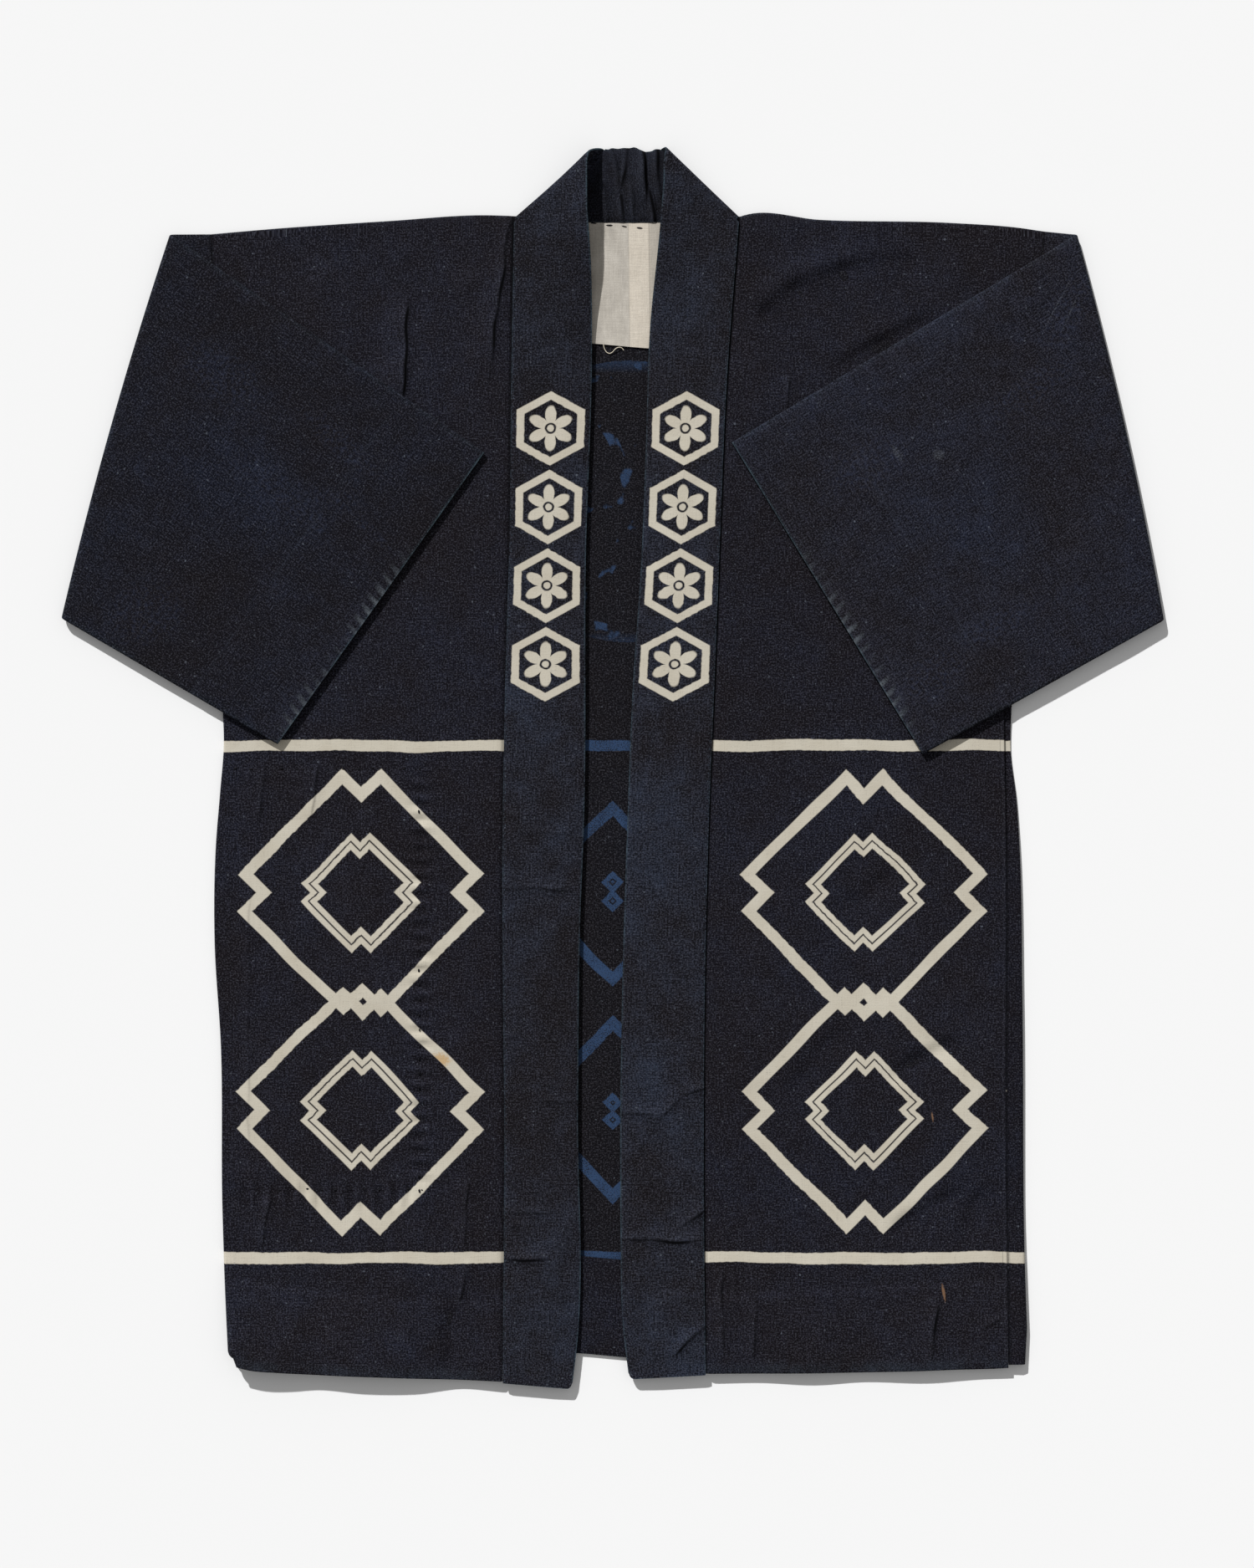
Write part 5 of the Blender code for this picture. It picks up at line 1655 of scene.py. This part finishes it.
# Columns: x at the seam, x at the top, y at the top, pucker
BAND_BACK = (
    (-48, -5.5, 476.3, 0.0), (-30, -3.0, 476.2, 0.2), (-16, 0.0, 477.0, 1.4),
    (-8, 4.0, 476.6, 1.3), (1, 8.5, 477.2, 0.3), (9, 12.5, 477.0, 1.2),
    (17, 17.0, 477.6, 1.8), (25, 21.5, 475.4, 1.7), (29, 24.0, 474.4, 0.3),
    (35, 27.0, 474.4, 1.3), (44, 30.0, 474.8, 0.4), (58, 32.5, 476.0, 0.1),
    (76, 35.5, 476.2, 0.0),
)


def collar_sheet():
    """Points, flat places, wear and thickness of the band, from foot to foot."""
    shares = 0.5 - 0.5 * np.cos(np.linspace(0.0, math.pi, BAND_COLUMNS))
    droop = BAND_DROOP * ease((shares - BAND_DROOP_FROM) / (1.0 - BAND_DROOP_FROM))
    from_edge = np.minimum(shares, 1.0 - shares) * BAND_WIDTH
    thick = BAND - (BAND - BAND_EDGE) * bell(from_edge, EDGE_WIDTH)
    reach = (BAND_Z - BAND_BACK_Z) / 2 + BAND / 2
    out_from_middle = (shares - 0.5) * BAND_WIDTH
    rows, flats = [], []

    def free_edge(side, edge_y):
        """How far the band rises towards the neck, less its droop."""
        return read(side["neck_rise"], edge_y) * shares ** NECK_RISE_POWER - droop

    def across(side, seam, edge):
        """A row of the band between a point on its seam and one on its free edge."""
        seam, edge = np.array(seam, float), np.array(edge, float)
        plan = seam + (edge - seam) * shares[:, None]
        x, y = plan.T
        near_hem = 1.0 - ease((y - BAND_FOOT_Y) / HEM_LIFT_REACH)
        z = BAND_Z + creases(BAND_FOLDS, x, y)
        z = z + BAND_CREASE_RISE * creases(BAND_CREASES, x, y)
        z = z + BAND_FOOT_LIFT * near_hem + free_edge(side, edge[1])
        return np.column_stack((plan, z))

    def ends(side, seam_y, edge_y):
        """The points at two heights, on the seam and on the free edge."""
        return np.array(((read(side["collar_seam"], seam_y), seam_y),
                         (read(side["collar_edge"], edge_y), edge_y)))

    def front(side):
        """The rows from the foot to the neck."""
        foot = np.array(side["foot"], float)
        first = ends(side, *(foot[:, 1] + FIRST_ROW))
        into_corner = np.clip(1.0 - (1.0 - shares) * BAND_WIDTH / FOOT_CORNER, 0.0, 1.0)
        lift = FOOT_CORNER * (1.0 - np.sqrt(1.0 - into_corner ** 2))
        lines = [across(side, *(foot + (first - foot) * share)) for share in FOOT_SHARES]
        for line, share in zip(lines, FOOT_SHARES):
            line[:, 1] += lift * (1.0 - share)
        steps = round((BAND_FAN[0][0] - foot[0, 1]) / BAND_STEP)
        for share in np.linspace(0.0, 1.0, steps):
            levels = first[:, 1] + (BAND_FAN[0][0] - first[:, 1]) * share
            lines.append(across(side, *ends(side, *levels)))
        for levels in BAND_FAN[1:]:
            lines.append(across(side, *ends(side, *levels)))
        return lines, [np.column_stack((out_from_middle, line[:, 1])) for line in lines]

    def crease_lines(side):
        """The roll that folds the band over, flat at the seam and tall at the free edge."""
        start, end = (np.array(point) for point in side["crease"])
        run = (end - start) / np.linalg.norm(end - start)
        outward = np.array((-run[1], run[0]))
        if outward[1] < 0:
            outward = -outward
        above, below = (np.array(point) - (end - outward * reach) for point in side["turn"])
        crest = start + (end - start) * shares[:, None]
        high = crest - outward * reach + above * shares[:, None] ** 2
        low = crest - outward * reach + below * shares[:, None] ** 2
        bulge = ((crest - (high + low) / 2) @ outward - thick / 2)[:, None]
        high = np.column_stack((high, BAND_Z + free_edge(side, end[1])))
        low = np.column_stack((low, np.full(BAND_COLUMNS, BAND_BACK_Z)))
        out = np.array((*outward, 0.0))
        lines = [high] + half_roll(high, low, out, TURN_STEPS, bulge) + [low]
        first, across_it, step = CREASE_FLAT
        return lines, [np.column_stack((out_from_middle, first + across_it * shares + step * k))
                       for k in range(len(lines))]

    def extend(lines, flat, backwards=False):
        """Add rows to the band, in their own order or the other way round."""
        rows.extend(lines[::-1] if backwards else lines)
        flats.extend(flat[::-1] if backwards else flat)

    extend(*front(RIGHT))
    extend(*crease_lines(RIGHT))
    behind, behind_flat = [], []
    back = np.array(BAND_BACK)
    steps = round((back[-1, 0] - back[0, 0]) / BACK_BAND_STEP)
    for seam_x in np.linspace(back[0, 0], back[-1, 0], steps):
        top_x, top_y, pucker = (float(read(back[:, (0, k)], seam_x)) for k in (1, 2, 3))
        seam_y = float(read(NECKLINE, seam_x))
        plan = np.array((seam_x, seam_y)) + np.outer(shares, (top_x - seam_x, top_y - seam_y))
        rise = pucker * np.sin(math.pi * (PUCKER_START + (1.0 - PUCKER_START) * shares))
        rise = rise + creases(NECK_CREASES, *plan.T)
        behind.append(np.column_stack((plan, BAND_BACK_Z + rise)))
        behind_flat.append(np.column_stack((out_from_middle,
                                            np.full(BAND_COLUMNS, NECK_FLAT + seam_x))))
    extend(behind, behind_flat)
    extend(*crease_lines(LEFT), backwards=True)
    extend(*front(LEFT), backwards=True)
    points = np.array(rows)
    wear = (bell((1.0 - shares) * BAND_WIDTH, WEAR_WIDTH) * FREE_EDGE_WEAR
            + bell(shares * BAND_WIDTH, WEAR_WIDTH) * SEAM_EDGE_WEAR)
    wear = np.broadcast_to(wear, points.shape[:2]).copy()
    wear[[0, -1]] = END_WEAR
    return points, np.array(flats), wear, np.broadcast_to(thick, points.shape[:2])


band, flat, wear, thick = collar_sheet()
band_tables = BAND_FOLDS + BAND_CREASES + NECK_CREASES
x, y = band[..., 0], band[..., 1]
upper_right = (x < 0) * ease((y - UPPER_FROM) / UPPER_OVER)
# The band's relief: its crease heights are painted as light on ridges and shade in troughs, less
# a darker tone above the right chest
marks = (*crease_marks(BAND_CREASES + NECK_CREASES, x, y),
         creases(band_tables, x, y) - UPPER_TONE * upper_right)
collar = shell("collar_cloth", band, flat, wear, thick, collar_material, outside=-1,
               marks=marks)

# %% [markdown]
# ## The neck patch
# A small rectangle on the inside of the back. It lies flat, and only its middle shows between
# the two sides of the collar.

# %% Make the neck patch
PATCH_LEFT = -56.0
PATCH_RIGHT = 81.0
PATCH_BOTTOM = ((-56, 330.0), (-16, 326.7), (29, 322.8), (81, 321.0))
PATCH_TOP_GAP = 0.6
PATCH_Z = 1.8
PATCH_CELLS = (40, 28)
PATCH_WAVE = 0.12

x = np.linspace(PATCH_LEFT, PATCH_RIGHT, PATCH_CELLS[0])[:, None]
bottom = read(PATCH_BOTTOM, x)
top = read(NECKLINE, x) - PATCH_TOP_GAP
y = bottom + (top - bottom) * np.linspace(0, 1, PATCH_CELLS[1])
x = np.broadcast_to(x, y.shape)
points = np.dstack((x, y, PATCH_Z + PATCH_WAVE * np.sin(x / 9.0) * np.sin(y / 23.0)))
neck_patch = shell("neck_patch_cloth", points, points[..., :2], np.zeros(y.shape), CLOTH,
                   patch_material, outside=-1)

# %% [markdown]
# ## Stitches
# The coat is sewn by hand. Blind stitches catch the turned-up hems, running stitches hold the
# lining behind the right front, and small ones run beside the collar's seams. One Geometry
# Nodes tree makes every row, because a row follows one rule: walk along a path, lay a small
# spindle of thread at each pitch, turn it along the path and let it stray a little.

# %% A tree that sews one row
STITCH_TWIST = 0.2        # radians
SHORTEST = 0.7            # sizes of the stitches, as shares of their row's
LONGEST = 1.2
SPINDLE = {"Segments": 6, "Rings": 4, "Radius": 0.5}


def stitch_tree():
    """The node group that lays stitches along the edges of a mesh."""
    tree = bpy.data.node_groups.new("row_of_stitches", "GeometryNodeTree")
    for label, kind in (("Row", "Geometry"), ("Pitch", "Float"), ("Length", "Float"),
                        ("Thickness", "Float"), ("Stray", "Float"), ("Seed", "Int"),
                        ("Thread", "Material")):
        tree.interface.new_socket(label, in_out="INPUT", socket_type="NodeSocket" + kind)
    tree.interface.new_socket("Stitches", in_out="OUTPUT", socket_type="NodeSocketGeometry")

    def node(kind, inputs, output=0, **settings):
        """Add a node: its settings, then the values or links of its sockets."""
        made = tree.nodes.new(kind)
        for name, setting in settings.items():
            setattr(made, name, setting)
        for name, value in inputs.items():
            if isinstance(value, bpy.types.NodeSocket):
                tree.links.new(value, made.inputs[name])
            else:
                made.inputs[name].default_value = value
        return made.outputs[output] if len(made.outputs) else made

    start = tree.nodes.new("NodeGroupInput").outputs
    path = node("GeometryNodeMeshToCurve", {"Mesh": start["Row"]})
    path = node("GeometryNodeResampleCurve", {"Curve": path, "Length": start["Pitch"]},
                mode="LENGTH")
    stray = node("FunctionNodeRandomValue", {0: (-1.0, -1.0, 0.0), 1: (1.0, 1.0, 0.0),
                                             "Seed": start["Seed"]}, data_type="FLOAT_VECTOR")
    stray = node("ShaderNodeVectorMath", {0: stray, "Scale": start["Stray"]}, operation="SCALE")
    path = node("GeometryNodeSetPosition", {"Geometry": path, "Offset": stray})
    turn = node("FunctionNodeAlignRotationToVector",
                {"Vector": node("GeometryNodeInputTangent", {})}, axis="X")
    angle = node("FunctionNodeRandomValue",
                 {2: -STITCH_TWIST, 3: STITCH_TWIST, "Seed": start["Seed"]}, output=1,
                 data_type="FLOAT")
    twist = node("FunctionNodeAxisAngleToRotation", {"Axis": (0.0, 0.0, 1.0), "Angle": angle})
    turn = node("FunctionNodeRotateRotation", {"Rotation": turn, "Rotate By": twist})
    spindle = node("GeometryNodeMeshUVSphere", SPINDLE)
    size = node("ShaderNodeCombineXYZ", {"X": start["Length"], "Y": start["Thickness"],
                                         "Z": start["Thickness"]})
    vary = node("FunctionNodeRandomValue", {2: SHORTEST, 3: LONGEST, "Seed": start["Seed"]},
                output=1, data_type="FLOAT")
    size = node("ShaderNodeVectorMath", {0: size, "Scale": vary}, operation="SCALE")
    laid = node("GeometryNodeInstanceOnPoints", {"Points": path, "Instance": spindle,
                                                 "Rotation": turn, "Scale": size})
    laid = node("GeometryNodeRealizeInstances", {"Geometry": laid})
    laid = node("GeometryNodeSetShadeSmooth", {"Geometry": laid})
    laid = node("GeometryNodeSetMaterial", {"Geometry": laid, "Material": start["Thread"]})
    node("NodeGroupOutput", {"Stitches": laid})
    return tree


row_of_stitches = stitch_tree()
print(len(row_of_stitches.nodes), "nodes sew a row")

# %% Sew a row, and lay a thread
SOCKETS = {item.name: item.identifier for item in row_of_stitches.interface.items_tree
           if item.in_out == "INPUT"}


def path_mesh(name, rows):
    """A mesh of edges alone, along rows of points in mm."""
    points = []
    edges = []
    for row in rows:
        edges += [(len(points) + k, len(points) + k + 1) for k in range(len(row) - 1)]
        points += [tuple(value * MM for value in point) for point in row]
    mesh = bpy.data.meshes.new(name)
    mesh.from_pydata(points, edges, [])
    return mesh


FUZZ = (3000.0, 1.0)
FUZZ_EDGE = (0.3, 0.7)
THREAD_ROUGHNESS = 0.85
THREAD_SHEEN = 0.15


def plain_mesh(piece):
    """What an object's curve or nodes make, as a mesh of its own."""
    return bpy.data.meshes.new_from_object(
        piece.evaluated_get(bpy.context.evaluated_depsgraph_get()))


def sew(name, rows, kind):
    """Stitches of one kind along rows of points."""
    thread, pitch, length, thickness, stray, seed = STITCHES[kind]
    piece = put(name, path_mesh(name + "_rows", rows))
    modifier = piece.modifiers.new("stitches", "NODES")
    modifier.node_group = row_of_stitches
    for label, value in (("Pitch", pitch), ("Length", length), ("Thickness", thickness),
                         ("Stray", stray)):
        modifier[SOCKETS[label]] = value * MM
    modifier[SOCKETS["Seed"]] = seed
    modifier[SOCKETS["Thread"]] = thread
    sewn = plain_mesh(piece)
    piece.modifiers.clear()
    piece.data = sewn
    print(name, "has", len(sewn.polygons), "faces")
    return piece


def thread_finish(name, colour, pale):
    """Cotton thread with a little fuzz."""
    finish = Finish(name)
    fuzz = finish.noise(finish.here(), *FUZZ).share(*FUZZ_EDGE)
    return finish.done(finish.blend(fuzz, colour, pale), THREAD_ROUGHNESS, THREAD_SHEEN)


blue_thread = thread_finish("faded_blue_thread", rgb(44, 52, 64), rgb(74, 88, 102))
dark_thread = thread_finish("dark_thread", rgb(10, 9, 12), rgb(22, 22, 28))
cream_thread = thread_finish("cream_thread", rgb(190, 180, 160), rgb(214, 206, 188))
# Columns: thread, pitch, length, thickness, stray, seed
STITCHES = {
    "lining": (dark_thread, LINING_STITCH, 3.0, 1.5, 0.6, 3),
    "hem": (dark_thread, HEM_STITCH / 2, 3.0, 0.8, 0.8, 5),
    "collar": (blue_thread, 6.2, 1.8, 0.4, 0.3, 7),
    "patch": (dark_thread, 11.8, 5.2, 1.1, 0.6, 2),
}
print("three threads are wound")

# %% Rows of stitches on the body
LINING_ROWS = (((-149, -326), (-149, -1)), ((-291, -325), (-147, -325)),
               ((-291, -1), (-149, -1)))
HEM_ROWS = {"right": (RIGHT, -292, -92), "left": (LEFT, 76, 300)}
BACK_STITCH_X = (6.0, 290.0)
BACK_STITCH_Y = BACK_HEM[0][1] + BACK_HEM_DEPTH + 2.0


def on_front(side, x, y):
    """Points of a row that lie on the outside of a front."""
    z = front_height(side, x, y) + front_relief(side, x, y) + CLOTH / 2
    return np.column_stack(np.broadcast_arrays(x, y, z))


lining_rows = []
for (x0, y0), (x1, y1) in LINING_ROWS:
    share = np.linspace(0.0, 1.0, 60)
    lining_rows.append(on_front(RIGHT, x0 + (x1 - x0) * share, y0 + (y1 - y0) * share))
lining_stitches = sew("lining_stitches", lining_rows, "lining")
hem_stitches = {}
for name, (side, x0, x1) in HEM_ROWS.items():
    x = np.linspace(x0, x1, 80)
    front_row = on_front(side, x, read(STITCH_LINE, x))
    x = np.linspace(*sorted(side["sign"] * end for end in BACK_STITCH_X), 40)
    back_row = np.column_stack(np.broadcast_arrays(x, BACK_STITCH_Y, BACK_Z - CLOTH / 2))
    hem_stitches[name] = sew("hem_stitches_" + name, [front_row, back_row], "hem")

# %% Stitches on the collar and the patch
COLLAR_STITCH_IN = 3      # columns in from the seam
COLLAR_STITCH_TOP = 400.0
THREAD_RADIUS = 0.32
THREAD_PARTS = 4          # points on the curve for each point of the table
PATCH_STITCHES = ((-26.6, 419.6), (-14.7, 418.7), (-2.9, 417.6), (8.9, 416.5), (20.8, 415.6))
THREAD_END = ((-7.1, 326.0, 2.6), (-6.6, 323.2, 2.0), (-5.0, 320.2, 1.6), (-2.6, 319.0, 1.5),
              (-0.4, 319.8, 2.0), (1.3, 321.6, 2.6), (3.4, 323.2, 2.8), (5.8, 323.6, 2.2),
              (7.4, 322.8, 1.7), (8.4, 321.4, 1.4))
rows_up = int(np.argmax(band[:, 0, 1] > COLLAR_STITCH_TOP))
above = (0, 0, thick[0, COLLAR_STITCH_IN] / 2)
up_right = band[2:rows_up:3, COLLAR_STITCH_IN] + above
up_left = band[-3:-rows_up:-3, COLLAR_STITCH_IN] + above
collar_stitches = sew("collar_stitches", [up_right, up_left], "collar")
patch_row = [(x, y, PATCH_Z + CLOTH / 2 + 0.1) for x, y in PATCH_STITCHES]
patch_stitches = sew("patch_stitches", [patch_row], "patch")
curve = bpy.data.curves.new("patch_thread_end", "CURVE")
curve.dimensions = "3D"
curve.bevel_depth = THREAD_RADIUS * MM
curve.bevel_resolution = 1
curve.use_fill_caps = True
curve.materials.append(cream_thread)
line = curve.splines.new("POLY")
steps = np.linspace(0, len(THREAD_END) - 1, (len(THREAD_END) - 1) * THREAD_PARTS + 1)
line.points.add(len(steps) - 1)
for point, step in zip(line.points, steps):
    place = [float(read([(k, row[axis]) for k, row in enumerate(THREAD_END)], step)) * MM
             for axis in range(3)]
    point.co = (*place, 1.0)
laid = put("thread_path", curve)
thread_end = put("patch_thread_end", plain_mesh(laid))
bpy.data.objects.remove(laid)
print("the thread end has", len(thread_end.data.polygons), "faces")

# %% [markdown]
# ## Joining the looks to the model
# Every piece stands for its solid, whose part is hidden, and rides on the coat's one body
# with its stitches.

PIECES = (
    (body_right, "body_right", "indigo_body", (0.325, 1.93), 0.502, "folded", [],
     [lining_stitches, hem_stitches["right"]]),
    (body_left, "body_left", "indigo_body", (0.325, 1.93), 0.522, "folded", [],
     [hem_stitches["left"]]),
    (sleeve_right, "sleeve_right", "indigo_sleeve", (0.33, 0.60), None, "folded",
     ["body_right"], []),
    (sleeve_left, "sleeve_left", "indigo_sleeve", (0.33, 0.60), None, "folded",
     ["body_left"], []),
    (collar, "collar", "indigo_band", (0.062, 1.98), None, "folded",
     ["body_right", "body_left"], [collar_stitches]),
    (neck_patch, "neck_patch", "undyed_cotton", (0.137, 0.097), None, "laid",
     ["body_right", "body_left"], [patch_stitches, thread_end]),
)
for piece, node, slot, flat, area, held, rests_on, sewn_on in PIECES:
    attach(piece, "root")
    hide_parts(node)
    for stitches in sewn_on:
        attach(stitches, "root")
print(len(PIECES), "pieces are declared")
